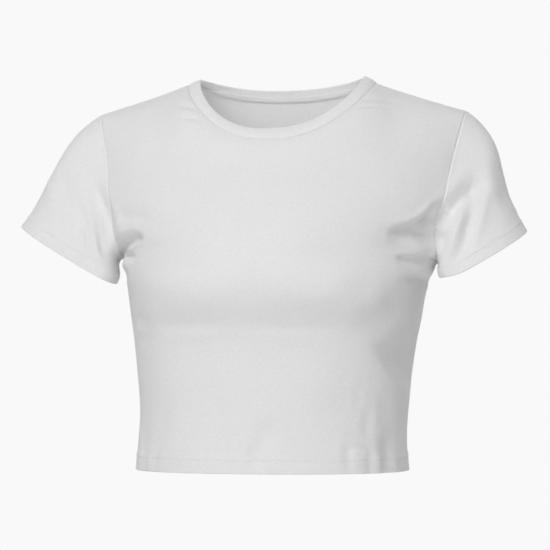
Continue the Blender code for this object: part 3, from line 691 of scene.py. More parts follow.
def seam_share(points):
    """The share of the full dip at a place: the neck seam is flatter at -X, an armhole flattest in its middle."""
    x, z = points[..., 0], points[..., 2]
    neck = mix(*NECK_DIPS, smooth_step(x, -0.06, 0.02))
    left, right = (middle + above[0] * smooth_step(z, *above[1:]) + below[0] * smooth_step(-z, *below[1:])
                   for middle, above, below in ARMHOLE_DIPS)
    return mix(neck, np.where(x < 0.0, left, right), smooth_step(np.abs(x), 0.115, 0.130))


def seam_highlight_share(points):
    """How strongly the painted highlight along an armhole seam shows: plainest in its middle."""
    x, z = points[..., 0], points[..., 2]
    middle = smooth_step(-z, 0.066, 0.082) * (1.0 - smooth_step(-z, 0.148, 0.168))
    return middle * smooth_step(np.abs(x), 0.125, 0.135)


print("share of the full dip at the shoulder tip: %.2f" % seam_share(np.array([SHOULDER_TIP]))[0])

# %% [markdown]
# ### The neckband
# A strip folded double: its outer face stands a little above the panels at the seam and is slightly
# domed, it turns over at the top in a tight fold, and comes down again inside. The ring is a closed
# tube of points, so the strip's own joining seam is only a fine dip across it at one shoulder.

# %% Neckband points
BAND_LAYERS = 0.0021    # from its outer to its inner face
BAND_STEP = 0.0005      # how far it stands above the panels beside the seam
BAND_SHARE = 0.0030     # and how far up it still follows the panels' direction
BAND_DITCH = 0.00046    # the fine line that its seam's second row pulls
BAND_JOIN = (0.1020, 0.0050)   # where its two ends are sewn together, in X and Y
JOIN_DIP = 0.00035
BAND_ROWS = graded(15, at_start=0.3, reach=0.10)


def band_frame():
    """The seam, the way across the band, its width and its outward direction, round the ring."""
    along = np.roll(seam_ring, -1, axis=0) - np.roll(seam_ring, 1, axis=0)
    along[0] = along[-1] = seam_ring[1] - seam_ring[-2]
    outward = unit(np.cross(along, edge_ring - seam_ring))
    width = np.linalg.norm(edge_ring - seam_ring, axis=1)[:, None]
    return unit(edge_ring - seam_ring), width, outward


def band_sheet(shared):
    """The whole strip: up the outer face, over the fold and down the inner face."""
    rise, width, outward = band_frame()
    radius, shown = BAND_LAYERS / 2.0, seam_share(seam_ring)[:, None]
    highest = 1.0 - radius / width.mean()
    aside, ahead = seam_ring[:, :1], seam_ring[:, 1:2]
    corner = smooth_step(aside, 0.065, 0.085)
    join = JOIN_DIP * bell(aside - BAND_JOIN[0], 0.02) * bell(ahead - BAND_JOIN[1], 0.001)
    rows = []
    for share in BAND_ROWS * highest:
        away = share * width
        dome = BAND_DOME * np.sin(np.pi * share) ** DOME_POWER
        step = BAND_STEP * shown * smooth_step(away, 0.0, 0.0012) * (1.0 - 0.5 * share)
        ditch = BAND_DITCH * (1.15 - shown + corner) * bell(away - 0.0029, 0.0006)
        facing = unit(mix(outward, shared, bell(away, BAND_SHARE)))
        dip = SEAM_DIP * shown * bell(away, 0.0008)
        rows.append(seam_ring + rise * away + facing * (dome + step - ditch - join - dip))
    top = rows[-1]
    for angle in FOLD_ANGLES:
        rows.append(top + radius * (outward * (np.cos(angle) - 1.0) + rise * np.sin(angle)))
    for share in np.linspace(highest, 0.0, 13)[1:]:
        dome = 0.7 * BAND_DOME * np.sin(np.pi * share) ** DOME_POWER
        facing = unit(mix(outward, shared, bell(share * width, BAND_SHARE)))
        rest = (top - seam_ring - rise * highest * width) * share
        rows.append(seam_ring + rise * share * width + rest + facing * (dome - BAND_LAYERS))
    return np.array(rows)


band = Cloth("neckband", np.array([mix(seam_ring, edge_ring, share) for share in (0.0, 0.3, 0.7, 1.0)]), True, 1.0)
everything = [*body.values(), *tubes.values(), band]
met = share_directions(everything)
print("points on seams:", len(met), "of which shared by two or more pieces:", sum(n > 1 for n in met.values()))
band.points = band_sheet(band.shared[0])

# %% [markdown]
# ### Relief of a hem
# A coverstitched hem shows three things: the doubled cloth makes a slight step at the turned-up
# layer's end, each needle row pulls a fine ditch, and the cloth between the rows puffs up.

# %% Hem relief
NEEDLE_ROWS = {"body": (0.0134, 0.0182), "sleeve": (0.0112, 0.0144)}
STITCH = 0.0029         # from one stitch to the next
NEEDLE_DITCH, DITCH_WIDTH = 0.00050, 0.0006
PUFF, PUFF_SIZE = 0.00028, 0.0022     # how far the cloth stands up between the two rows
HEM_STEP = 0.00035      # the step at the end of the turned-up layer
HEM_FLARE = {"body": 0.0014, "sleeve": 0.0006}    # how far a hem's edge stands out
ROPE, ROPE_SIZE = {"body": 0.00022, "sleeve": 0.00010}, 0.0070    # how uneven sewing has left it


def hem_height(above, along, kind, top):
    """The relief of a hem at a height above its fold."""
    low, high = NEEDLE_ROWS[kind]
    height = HEM_STEP * (1.0 - smooth_step(above, top - 0.0002, top + 0.0014))
    pulled = 0.65 + 0.35 * np.cos(2.0 * np.pi * along / STITCH)
    for row in (low, high):
        height = height - NEEDLE_DITCH * pulled * bell(above - row, DITCH_WIDTH)
    puff = PUFF * bell(above - (low + high) / 2.0, 0.40 * (high - low))
    height = height + puff * (1.0 + 0.9 * uneven(along, PUFF_SIZE, "puff"))
    height = height + HEM_FLARE[kind] * np.clip(1.0 - above / (top + 0.004), 0.0, 1.0) ** 1.2
    rope = bell(above, 0.010) + 0.5 * bell(above - high, 0.006)
    return height + ROPE[kind] * rope * uneven(along + 0.4 * above, ROPE_SIZE, "rope")


print("stitches in a metre of hem:", round(1.0 / STITCH))

# %% [markdown]
# ### Relief of a piece
# Now everything is added up for each panel and sleeve: creases, the soft unevenness of hanging cloth,
# fine puckers beside the seams, the hem and the dips. All of it fades out at the neck seam, where the
# band is sewn on.

# %% Lift the pieces
ARMHOLE_RIDGE = 0.00035  # the seam's bulk, pressed towards the sleeve
UNDER_SEAM_DIP = 0.00035
UNDER_SEAM_AT = (0.0035, 0.0100)      # how far that seam lies beside the sleeve's lowest line, top and cuff
WAVE = (0.00055, 0.055, 0.048)        # the broad unevenness of hanging cloth: its height, size across and up
FINE_WAVE = (0.00016, 0.015, 0.022)   # and the fine one
PUCKER, PUCKER_SIZE, PUCKER_AT, PUCKER_REACH = 0.00014, 0.0045, 0.0030, 0.0025    # small ones beside a seam


def from_neck(points):
    """How far each point is from the neck seam."""
    gaps = [np.sqrt(np.min(np.sum((row[:, None] - seam_ring[None, ::2]) ** 2, axis=-1), axis=1)) for row in points]
    return np.array(gaps)


def under_seam(piece):
    """How plainly the seam along a sleeve's underarm shows at each point, and how far it is away."""
    share = piece.up / piece.up[-1:]
    from_edge = piece.across if piece.name == "sleeve_left" else piece.across[:, -1:] - piece.across
    return smooth_step(share, 0.0, 0.25), from_edge - mix(*UNDER_SEAM_AT, share)


def facing_of(piece):
    """A piece's own directions, blended at its sewn edges into those that the neighbours share."""
    up, across, shared = piece.up, piece.across, piece.shared
    if piece.closed:
        edges = [(up, shared[:1])]
    else:
        edges = [(across, shared[:, :1]), (across[:, -1:] - across, shared[:, -1:]), (up[-1:] - up, shared[-1:])]
    facing = piece.normals.copy()
    for gap, line in edges:
        facing = mix(facing, line, bell(gap, SHARE_REACH)[..., None])
    facing = unit(facing)
    if piece.closed:
        facing[0] = shared[0]
    else:
        facing[:, 0], facing[:, -1], facing[-1] = shared[:, 0], shared[:, -1], shared[-1]
    return facing


def lift(piece):
    """Add all relief to a panel or a sleeve, and keep its sewn edges on their shared direction."""
    points, up, across = piece.points, piece.up, piece.across
    x, y, z = (points[..., axis] for axis in range(3))
    to_side = np.minimum(across, across[:, -1:] - across)
    if piece.closed:
        from_seam, along = up, across
        above, kind, top = up[-1:] - up + FOLD_RADIUS, "sleeve", SLEEVE_HEM
    else:
        from_seam, along = np.minimum(to_side, up[-1:] - up), across - across[:, across.shape[1] // 2][:, None]
        above, kind, top = up + FOLD_RADIUS, "body", BODY_HEM
    height = creased(points) + (WAVE[0] * uneven_field(x + 0.3 * y, z, *WAVE[1:], "wave")
                                + FINE_WAVE[0] * uneven_field(x, z + 0.3 * y, *FINE_WAVE[1:], "fine wave"))
    if not piece.closed:
        height = height * smooth_step(from_neck(points), 0.0, 0.0016)
    pucker = uneven(z + x, PUCKER_SIZE, "pucker") * bell(from_seam - PUCKER_AT, PUCKER_REACH)
    height = height + PUCKER * pucker * smooth_step(from_seam, 0.0, 0.002)
    height = height + mix(hem_height(above, 0.0 * along, kind, top), hem_height(above, along, kind, top),
                          smooth_step(to_side, 0.0, 0.006))
    height = height - SEAM_DIP * seam_share(points) * bell(from_seam, SEAM_REACH)
    # A painted highlight: a paler colour along the middle of each armhole seam.
    piece.rub = 0.65 * seam_highlight_share(points) * bell(from_seam, 0.0008)
    if piece.closed:
        shown, from_under = under_seam(piece)
        height = height + ARMHOLE_RIDGE * bell(from_seam - 0.0020, 0.0009)
        height = height - UNDER_SEAM_DIP * shown * bell(from_under, 0.0008)
        # A painted highlight along the sleeve's underarm seam as well.
        piece.rub = np.maximum(piece.rub, 0.9 * shown * bell(from_under, 0.0007))
    piece.facing, piece.from_hem = facing_of(piece), above
    piece.outer = points + piece.facing * height[..., None]


for piece in [*body.values(), *tubes.values()]:
    lift(piece)
raised = np.sum((body["front"].outer - body["front"].points) * body["front"].facing, axis=-1)
print("relief of the front: %.1f to %.1f mm" % (1000.0 * raised.min(), 1000.0 * raised.max()))

# %% [markdown]
# ### Turned-up hems
# The rows of points go on past the hem: over a tight half turn and back up inside, as the cloth does.
# The turned layer ends in a raw edge that the looper thread of the coverstitch wraps.

# %% Turn the hems up
def turned_hem(piece, hem):
    """The fold and the inner layer of a hem, from the outer row at the fold to the raw edge."""
    order = np.s_[::-1] if piece.closed else np.s_[:]
    outer, facing, above = piece.outer[order], piece.facing[order], piece.from_hem[order]
    down = unit(outer[0] - outer[1])
    centre = outer[0] - facing[0] * FOLD_RADIUS
    rows = [centre + FOLD_RADIUS * (facing[0] * np.cos(angle) + down * np.sin(angle)) for angle in FOLD_ANGLES]
    for row in range(2, len(outer), 2):
        if above[row].mean() > hem:
            break
        rows.append(outer[row] - facing[row] * 2.0 * FOLD_RADIUS)
    return np.array(rows)


for piece in [*body.values(), *tubes.values()]:
    hem = turned_hem(piece, SLEEVE_HEM if piece.closed else BODY_HEM)
    unrubbed = np.zeros(hem.shape[:2])
    if piece.closed:
        piece.whole, piece.rub = np.concatenate([piece.outer, hem]), np.concatenate([piece.rub, unrubbed])
    else:
        piece.whole, piece.rub = np.concatenate([hem[::-1], piece.outer]), np.concatenate([unrubbed, piece.rub])
band.whole, band.rub = band.points, np.zeros(band.points.shape[:2])
print("rows with the hem:", {piece.name: len(piece.whole) for piece in everything})

# %% [markdown]
# ## Materials
# White jersey looks plain from afar and is full of structure up close: columns of knitted V's, a soft
# fuzz, and yarn that is not quite even. One node group draws the knit from the sheet's own flat
# coordinates, so the wales follow the cloth into each fold; another draws the unevenness. Every cloth
# material places them with its own values.

# %% Node helpers
def nodes_of(tree):
    """Short ways to add a node, a calculation and a link to a node tree."""
    def add(kind, **settings):
        node = tree.nodes.new(kind)
        for name, value in settings.items():
            setattr(node, name, value)
        return node

    def math(operation, a, b=None, c=None):
        node = add("ShaderNodeMath", operation=operation)
        for socket, value in zip(node.inputs, (a, b, c)):
            if hasattr(value, "is_output"):
                tree.links.new(value, socket)
            elif value is not None:
                socket.default_value = value
        return node.outputs[0]

    return add, math


def new_group(name, inputs, outputs):
    """An empty node group with named inputs and outputs."""
    tree = bpy.data.node_groups.new(name, "ShaderNodeTree")
    for label, kind, value in inputs:
        socket = tree.interface.new_socket(label, in_out="INPUT", socket_type=kind)
        if value is not None:
            socket.default_value = value
    for label, kind in outputs:
        tree.interface.new_socket(label, in_out="OUTPUT", socket_type=kind)
    return tree, tree.nodes.new("NodeGroupInput"), tree.nodes.new("NodeGroupOutput")


def new_material(name, values):
    """A material whose shader has these constants, and that shader."""
    material = bpy.data.materials.new(name)
    material.use_nodes = True
    shader = material.node_tree.nodes["Principled BSDF"]
    for label, value in values.items():
        shader.inputs[label].default_value = value
    return material, shader


def shaded(tree, colour, shade):
    """The output of a node that darkens a colour by a shade."""
    node = tree.nodes.new("ShaderNodeMix")
    node.data_type, node.blend_type = "RGBA", "MULTIPLY"
    node.inputs["Factor"].default_value = 1.0
    node.inputs["A"].default_value = (*colour, 1.0)
    tree.links.new(shade, node.inputs["B"])
    return node.outputs["Result"]

# %% [markdown]
# ### The knit
# In a jersey each wale is a column of V's. Across one wale the height falls off to both sides, and
# along it the loops repeat, later towards the middle than at the sides, which draws the V.

# %% Knit group
HALF_TURN, WHOLE_TURN = 3.14159, 6.28318     # in radians


def knit_group():
    """The knit as a height and a painted shade in its low parts, from the flat coordinates of the cut."""
    tree, given, result = new_group(
        "jersey_knit",
        [("Cut", "NodeSocketVector", None), ("Wale", "NodeSocketFloat", 0.00075),
         ("Course", "NodeSocketFloat", 0.00060)],
        [("Height", "NodeSocketFloat"), ("Shade", "NodeSocketFloat")])
    add, math = nodes_of(tree)
    split = add("ShaderNodeSeparateXYZ")
    tree.links.new(given.outputs["Cut"], split.inputs[0])
    wale = math("DIVIDE", split.outputs["X"], given.outputs["Wale"])
    aside = math("ABSOLUTE", math("SUBTRACT", math("FRACT", wale), 0.5))
    course = math("DIVIDE", split.outputs["Y"], given.outputs["Course"])
    loop = math("SINE", math("MULTIPLY", math("ADD", course, math("MULTIPLY", aside, 1.7)), WHOLE_TURN))
    column = math("COSINE", math("MULTIPLY", aside, HALF_TURN))
    height = math("MULTIPLY_ADD", loop, 0.35, math("MULTIPLY", column, 0.65))
    tree.links.new(height, result.inputs["Height"])
    # The shade darkens the colour where the knit is low: painted shade in its hollows.
    tree.links.new(math("MULTIPLY_ADD", height, 0.10, 0.90), result.inputs["Shade"])
    return tree


KNIT = knit_group()
print("node group:", KNIT.name)

# %% [markdown]
# ### The yarn
# Spun cotton is never quite even. Three layers of noise draw that: a fine grain, short slubs that lie
# along the courses, and a soft cloudiness over the whole cloth.

# %% Yarn group
def uneven_group():
    """Yarn that is not quite even: fine grain, short slubs along the courses and a soft cloudiness."""
    tree, given, result = new_group(
        "uneven_yarn",
        [("Cut", "NodeSocketVector", None), ("Grain", "NodeSocketFloat", 800.0),
         ("Slub", "NodeSocketFloat", 330.0), ("Cloud", "NodeSocketFloat", 26.0)],
        [("Height", "NodeSocketFloat"), ("Shade", "NodeSocketFloat")])
    add, math = nodes_of(tree)
    stretch = add("ShaderNodeMapping")
    stretch.inputs["Scale"].default_value = (0.40, 1.0, 1.0)
    tree.links.new(given.outputs["Cut"], stretch.inputs["Vector"])
    grain, slub, cloud = (add("ShaderNodeTexNoise", noise_dimensions="2D") for _ in range(3))
    for noise, detail, place, scale in ((grain, 1.0, stretch.outputs[0], given.outputs["Grain"]),
                                        (slub, 1.0, stretch.outputs[0], given.outputs["Slub"]),
                                        (cloud, 3.0, given.outputs["Cut"], given.outputs["Cloud"])):
        noise.inputs["Detail"].default_value = detail
        tree.links.new(place, noise.inputs["Vector"])
        tree.links.new(scale, noise.inputs["Scale"])
    tree.links.new(grain.outputs[0], result.inputs["Height"])
    fine = math("MULTIPLY_ADD", grain.outputs[0], 0.11, math("MULTIPLY", slub.outputs[0], 0.04))
    shade = math("ADD", fine, math("MULTIPLY_ADD", cloud.outputs[0], 0.02, 0.92))
    tree.links.new(shade, result.inputs["Shade"])
    return tree


YARN = uneven_group()
print("node group:", YARN.name)

# %% [markdown]
# ### Cloth and thread
# Cotton is matt with a faint sheen from its fuzz, so the shader has a high roughness and a little
# sheen. Polyester thread is a touch smoother. The knit is a bump: its loops are half a millimetre.

# %% Materials
def cloth_material(name, colour, wale=0.00078, course=0.00062):
    """Jersey: the knit and the uneven yarn give its colour and its bump."""
    material, shader = new_material(name, {"Roughness": 0.88, "Sheen Weight": 0.10, "Sheen Roughness": 0.5,
                                           "Specular IOR Level": 0.25})
    tree = material.node_tree
    add, math = nodes_of(tree)
    cut = add("ShaderNodeUVMap", uv_map="cut")
    knit, yarn = add("ShaderNodeGroup", node_tree=KNIT), add("ShaderNodeGroup", node_tree=YARN)
    knit.inputs["Wale"].default_value, knit.inputs["Course"].default_value = wale, course
    for group in (knit, yarn):
        tree.links.new(cut.outputs[0], group.inputs["Cut"])
    # The knit's shade is painted shade in its low parts; the yarn's shade is tone that differs at random.
    cloth = shaded(tree, colour, math("MULTIPLY", knit.outputs["Shade"], yarn.outputs["Shade"]))
    # The painted highlight mixes the colour towards near white along the seams.
    rub, highlight_mix = add("ShaderNodeAttribute", attribute_name="rub"), add("ShaderNodeMix", data_type="RGBA")
    highlight_mix.inputs["B"].default_value = (0.98, 0.98, 0.975, 1.0)
    tree.links.new(rub.outputs["Fac"], highlight_mix.inputs["Factor"])
    tree.links.new(cloth, highlight_mix.inputs["A"])
    tree.links.new(highlight_mix.outputs["Result"], shader.inputs["Base Color"])
    bump = add("ShaderNodeBump")
    bump.inputs["Strength"].default_value = 0.5
    bump.inputs["Distance"].default_value = 0.00020
    loops = math("MULTIPLY_ADD", yarn.outputs["Height"], 0.9, knit.outputs["Height"])
    tree.links.new(loops, bump.inputs["Height"])
    tree.links.new(bump.outputs[0], shader.inputs["Normal"])
    return material


def thread_material(name, colour):
    """Spun polyester sewing thread: a fine twist, a touch smoother than the cloth."""
    material, shader = new_material(name, {"Roughness": 0.62})
    tree = material.node_tree
    add, math = nodes_of(tree)
    place = add("ShaderNodeTexCoord")
    twist = add("ShaderNodeTexWave", wave_type="BANDS", bands_direction="DIAGONAL")
    twist.inputs["Scale"].default_value = 700.0
    tree.links.new(place.outputs["Object"], twist.inputs["Vector"])
    thread = shaded(tree, colour, math("MULTIPLY_ADD", twist.outputs["Fac"], 0.10, 0.90))
    tree.links.new(thread, shader.inputs["Base Color"])
    return material


JERSEY = cloth_material("white_jersey", (0.935, 0.935, 0.935))
BAND_JERSEY = cloth_material("white_band_jersey", (0.975, 0.975, 0.975))
THREAD = thread_material("white_thread", (0.88, 0.88, 0.875))
BULKY_THREAD = thread_material("bulky_thread", (0.84, 0.84, 0.835))
print("materials:", sorted(material.name for material in (JERSEY, BAND_JERSEY, THREAD, BULKY_THREAD)))

# %% [markdown]
# ## Cut and sew
# A grid is made with Blender's own operator and each of its points is moved to its place. The flat
# coordinates of the cut are kept as a UV map in metres, then a tube's first and last columns are
# joined, and a Solidify modifier gives the cloth its thickness inwards.

# %% Make the sheets
def new_object(name, data):
    """A named object in the scene."""
    thing = bpy.data.objects.new(name, data)
    bpy.context.scene.collection.objects.link(thing)
    return thing


def sheet_object(name, points, closed, outward, material, thickness=CLOTH, rub=None):
    """A sheet of cloth as an object, with its flat coordinates, its painted seam highlight and its thickness."""
    rows, columns = points.shape[:2]
    up, across = distances(points)
    middle = across[:, columns // 2][:, None]
    cut = np.stack([across - (0.0 if closed else middle), up], axis=-1).reshape(-1, 2)
    cloth = bmesh.new()
    bmesh.ops.create_grid(cloth, x_segments=columns - 1, y_segments=rows - 1, size=1.0)
    cloth.verts.index_update()
    for vertex, place in zip(cloth.verts, points.reshape(-1, 3)):
        vertex.co = place
    # The painted seam highlight is kept on the points for the material.
    if rub is not None:
        rubbed = cloth.verts.layers.float.new("rub")
        for vertex, value in zip(cloth.verts, rub.ravel()):
            vertex[rubbed] = value
    flat = cloth.loops.layers.uv.new("cut")
    for face in cloth.faces:
        for loop in face.loops:
            loop[flat].uv = cut[loop.vert.index]
    if closed:
        bmesh.ops.remove_doubles(cloth, verts=cloth.verts[:], dist=1e-6)
    if outward < 0:
        bmesh.ops.reverse_faces(cloth, faces=cloth.faces[:])
    area = sum(face.calc_area() for face in cloth.faces)
    mesh = bpy.data.meshes.new(name)
    cloth.to_mesh(mesh)
    cloth.free()
    mesh.shade_smooth()
    mesh.materials.append(material)
    piece = new_object(name, mesh)
    wall = piece.modifiers.new("thickness", "SOLIDIFY")
    wall.thickness, wall.offset = thickness, -1.0
    print("%s: %d x %d points, %.4f m2" % (name, rows, columns, area))
    return piece, area


sewn = {}
for piece in everything:
    material, slot = (BAND_JERSEY, "neckband") if piece is band else (JERSEY, "jersey")
    sewn[piece.name] = sheet_object("sewn_" + piece.name, piece.whole, piece.closed, piece.outward, material,
                                    rub=piece.rub)
    sheet = sewn[piece.name][0]
    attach(sheet, "root")
    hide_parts(piece.name)

# %% [markdown]
# ## Stitches
# From outside, a coverstitch is two rows of short straight stitches. Each is a small elongated bead
# with a few faces, because there are about a thousand of them, and half of it sinks into the ditch.

# %% Lines for stitches
def line_at(piece, height, inset=0.0, clear=0):
    """The line round a hem at a height above its fold, inset inwards, less clear columns at its ends."""
    places, facings = [], []
    for column in range(clear, piece.outer.shape[1] - clear):
        order = np.argsort(piece.from_hem[:, column])
        above = piece.from_hem[order, column]
        places.append([np.interp(height, above, piece.outer[order, column, axis]) for axis in range(3)])
        facings.append([np.interp(height, above, piece.facing[order, column, axis]) for axis in range(3)])
    facings = unit(facings)
    return np.array(places) - facings * inset, facings


def spaced(line, facings, pitch, shift=0.5):
    """Places, ways and facings along a line, one for each stitch."""
    along = lengths_along(line)
    count = int(round(along[-1] / pitch))
    wanted = (np.arange(count) + shift) * along[-1] / count
    place, ahead = sample(wanted, along, line), sample(wanted + AHEAD, along, line)
    return place, unit(ahead - place), unit(sample(wanted, along, facings))


AHEAD = 0.0001          # the place that a stitch looks at, this far along the line
BEAD_LENGTHS = np.array([-0.00125, -0.00090, 0.0, 0.00090, 0.00125])
BEAD_RADII = np.array([0.25, 0.85, 1.0, 0.85, 0.25])
BEAD_RISE, BEAD_DIVE = 0.00004, 0.00022
THREAD_RADIUS = 0.00017


def thread_object(name, lines, radii=None, material=THREAD):
    """Thin threads along lines of points, as one mesh. radii makes each line thinner at its ends."""
    curve = bpy.data.curves.new(name, "CURVE")
    curve.dimensions, curve.bevel_depth, curve.bevel_resolution = "3D", THREAD_RADIUS, 1
    curve.use_fill_caps = True
    for line in lines:
        spline = curve.splines.new("POLY")
        spline.points.add(len(line) - 1)
        spline.points.foreach_set("co", np.column_stack([line, np.ones(len(line))]).ravel())
        if radii is not None:
            spline.points.foreach_set("radius", radii)
    drawn = new_object(name + "_curve", curve)
    bpy.context.view_layer.update()
    mesh = bpy.data.meshes.new_from_object(drawn.evaluated_get(bpy.context.evaluated_depsgraph_get()))
    bpy.data.objects.remove(drawn, do_unlink=True)
    mesh.name = name
    mesh.materials.clear()
    mesh.materials.append(material)
    mesh.shade_smooth()
    print("%s: %d threads, %d faces" % (name, len(lines), len(mesh.polygons)))
    return new_object(name, mesh)

# %% [markdown]
# The needle rows follow the ditches of the hem. The body's hem has one mesh for both panels, and each
# cuff has its own.

# %% Needle rows
def stitch_lines(rows):
    """Every stitch of some needle rows as a short line that dives into the cloth at both ends."""
    lines = []
    for line, facings in rows:
        for place, way, facing in zip(*spaced(line, facings, STITCH)):
            dive = BEAD_RISE - BEAD_DIVE * (BEAD_LENGTHS / BEAD_LENGTHS[-1]) ** 4
            lines.append(place + way * BEAD_LENGTHS[:, None] + facing * dive[:, None])
    return lines


Hem = namedtuple("Hem", "label pieces kind over clear")
HEMS = (Hem("hem", list(body.values()), "body", 0.0008, 0),
        Hem("cuff_left", [tubes["sleeve_left"]], "sleeve", 0.0006, 9),
        Hem("cuff_right", [tubes["sleeve_right"]], "sleeve", 0.0006, 9))
sewing = {}
for hem in HEMS:
    rows = [line_at(piece, height) for piece in hem.pieces for height in NEEDLE_ROWS[hem.kind]]
    name = hem.label + "_stitches"
    sewing[name] = thread_object(name, stitch_lines(rows), BEAD_RADII)

# %% [markdown]
# ### Looper and overlock threads
# Inside, the coverstitch's looper thread runs to and fro between the needle rows and covers the raw
# edge. The seams inside are overlocked: a narrow double edge, pressed to one side, with thread looped
# over it. Each thread is a curve with a round bevel, made a mesh at the end.

# %% Threads inside
def to_and_fro(low, high, pitch):
    """A thread that runs to and fro between two lines, with a small loop at each turn."""
    (a, _, _), (b, _, _) = spaced(*low, pitch, 0.25), spaced(*high, pitch, 0.75)
    count = min(len(a), len(b))
    a, b = a[:count], b[:count]
    ahead = np.roll(a, -1, axis=0) - a
    ahead[-1] = ahead[-2]
    turns = [a - ahead * 0.18, a + (a - b) * 0.08, a + ahead * 0.20, mix(a, b, 0.5) + ahead * 0.02,
             b - ahead * 0.20, b + (b - a) * 0.08, b + ahead * 0.16]
    return np.stack(turns, axis=1).reshape(-1, 3)


INSIDE, UNDER_ROW = 2.0 * FOLD_RADIUS + 0.6 * THREAD_RADIUS, 0.0006
for hem in HEMS:
    low, high = NEEDLE_ROWS[hem.kind]
    name = hem.label + "_loopers"
    lines = [[line_at(piece, height, INSIDE, hem.clear) for height in (low - UNDER_ROW, high + hem.over)]
             for piece in hem.pieces]
    sewing[name] = thread_object(name, [to_and_fro(*pair, STITCH) for pair in lines])

# %% [markdown]
# ### Seam allowances
# Each is a flat double strip on the inside, six millimetres wide. It is drawn on the piece that it is
# pressed towards, from that piece's own points, moved inwards.

# %% Overlocked edges
STRIP = np.array([0.0002, 0.0007, 0.0016, 0.0030, 0.0044, 0.0054, 0.0060])     # points away from the seam
STRIP_HEIGHT = np.array([0.45, 0.95, 1.0, 0.93, 1.0, 0.9, 0.35])               # their share of its thickness
STRIP_THICK, STRIP_WALL, OVERLOCK_PITCH = 0.0014, 0.0005, 0.0021


def strip_on(lines, facings, depth=CLOTH, thick=STRIP_THICK):
    """A strip beside a seam: the lines run away from the seam, and it lies this deep inside them."""
    rows, skins = [], []
    for line, facing in zip(lines, facings):
        gap = lengths_along(line)
        look = unit(sample(STRIP, gap, facing))
        rows.append(sample(STRIP, gap, line) - look * (depth + thick * STRIP_HEIGHT[:, None]))
        skins.append(-look)
    return np.array(rows), np.array(skins)


def overlock(strip, skins, pitch=OVERLOCK_PITCH):
    """The thread over a strip's edge."""
    return to_and_fro(*[(strip[:, n] + skins[:, n] * 0.5 * THREAD_RADIUS, skins[:, n]) for n in (2, 5)], pitch)


def add_strip(name, lines, facings, outward):
    """A strip as an object, with its thread kept for later."""
    strip, skins = strip_on(lines, facings)
    sewing[name], _ = sheet_object(name, strip, False, outward, JERSEY, thickness=STRIP_WALL)
    overlocks.append(overlock(strip, skins))


overlocks, behind = [], body["back"]
first, sides = int(np.searchsorted(behind.from_hem.mean(axis=1), BODY_HEM + 0.0010)), len(SIDE_SHARES) - 1
for label, columns, outward in (("left", np.s_[:], 1.0), ("right", np.s_[::-1], -1.0)):
    seam = np.s_[first:UNDERARM_ROW - 1, columns]
    add_strip("side_allowance_" + label, behind.outer[seam], behind.facing[seam], outward)
for label, columns in (("left", slice(2, sides - 1)), ("right", slice(-sides + 1, -2))):
    seam = np.s_[:-41:-1, columns]
    add_strip("shoulder_allowance_" + label, behind.outer[seam].transpose(1, 0, 2),
              behind.facing[seam].transpose(1, 0, 2), 1.0)
for name, piece in tubes.items():
    add_strip(name.replace("sleeve", "armhole_allowance"), piece.outer[:30].transpose(1, 0, 2),
              piece.facing[:30].transpose(1, 0, 2), piece.outward)

# %% [markdown]
# The neck seam's own edge is pressed up against the inner face of the band, under a coarser overlock.

# %% Overlocked edge of the neck
NECK_THICK, NECK_PITCH, NECK_THREAD = 0.0005, 0.0030, 2.6
inner_face = band.points[:-14:-1].transpose(1, 0, 2)
outward = np.repeat(band_frame()[2][:, None], inner_face.shape[1], axis=1)
rows, skins = strip_on(inner_face, outward, depth=0.0, thick=NECK_THICK)
sewing["neck_allowance"], _ = sheet_object("neck_allowance", rows.transpose(1, 0, 2), True, -1.0, BAND_JERSEY,
                                           thickness=STRIP_WALL)
loops = overlock(rows, skins, NECK_PITCH)
sewing["neck_overlock"] = thread_object("neck_overlock", [loops], np.full(len(loops), NECK_THREAD), BULKY_THREAD)
sewing["overlock_threads"] = thread_object("overlock_threads", overlocks)
print("sewing:", sorted(sewing))

# %% [markdown]
# ## What each piece carries
# For every sewn sheet the size of its flat cut is measured along the cloth, but nothing more is done with
# it. The hem allowance is part of the cut. Stitches and pressed edges are listed with the sheet that
# carries them, and all are attached to the same root.

CARRIED = {
    "front": ("hem_stitches", "hem_loopers"),
    "back": ("shoulder_allowance_left", "shoulder_allowance_right", "side_allowance_left", "side_allowance_right",
             "overlock_threads"),
    "sleeve_left": ("cuff_left_stitches", "cuff_left_loopers", "armhole_allowance_left"),
    "sleeve_right": ("cuff_right_stitches", "cuff_right_loopers", "armhole_allowance_right"),
    "neckband": ("neck_allowance", "neck_overlock"),
}
for piece in everything:
    sheet, area = sewn[piece.name]
    up, across = distances(piece.whole)
    extras = [sewing[name] for name in CARRIED[piece.name]]
    for extra in extras:
        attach(extra, "root")

# %% [markdown]
# ## Floor, light and camera
# The garment hangs in the air before plain pale surroundings, as on an invisible stand. All lamps are
# large and soft. The strongest stands in front, high and a little to the left, a weak one straight in
# front and one low on the right open the shadows, and three at the side and behind round the edges
# off. A very small one brightens the inside. The floor lies far enough down to stay out of the front
# view.

# %% Floor
FLOOR_HEIGHT, FLOOR_RADIUS = -0.72, 2.3
ground = bmesh.new()
bmesh.ops.create_circle(ground, cap_ends=True, segments=96, radius=FLOOR_RADIUS,
                        matrix=Matrix.Translation((0.0, 0.0, FLOOR_HEIGHT)))
floor_mesh = bpy.data.meshes.new("pale_floor")
ground.to_mesh(floor_mesh)
ground.free()
pale, _ = new_material("pale_floor", {"Base Color": (0.80, 0.80, 0.795, 1.0), "Roughness": 0.9})
floor_mesh.materials.append(pale)
new_object("pale_floor", floor_mesh)
print("floor at", FLOOR_HEIGHT, "m")

# %% [markdown]
# ### Lamps
# Each lamp is placed by two angles round the middle of the garment and looks at it from 2.8 metres.

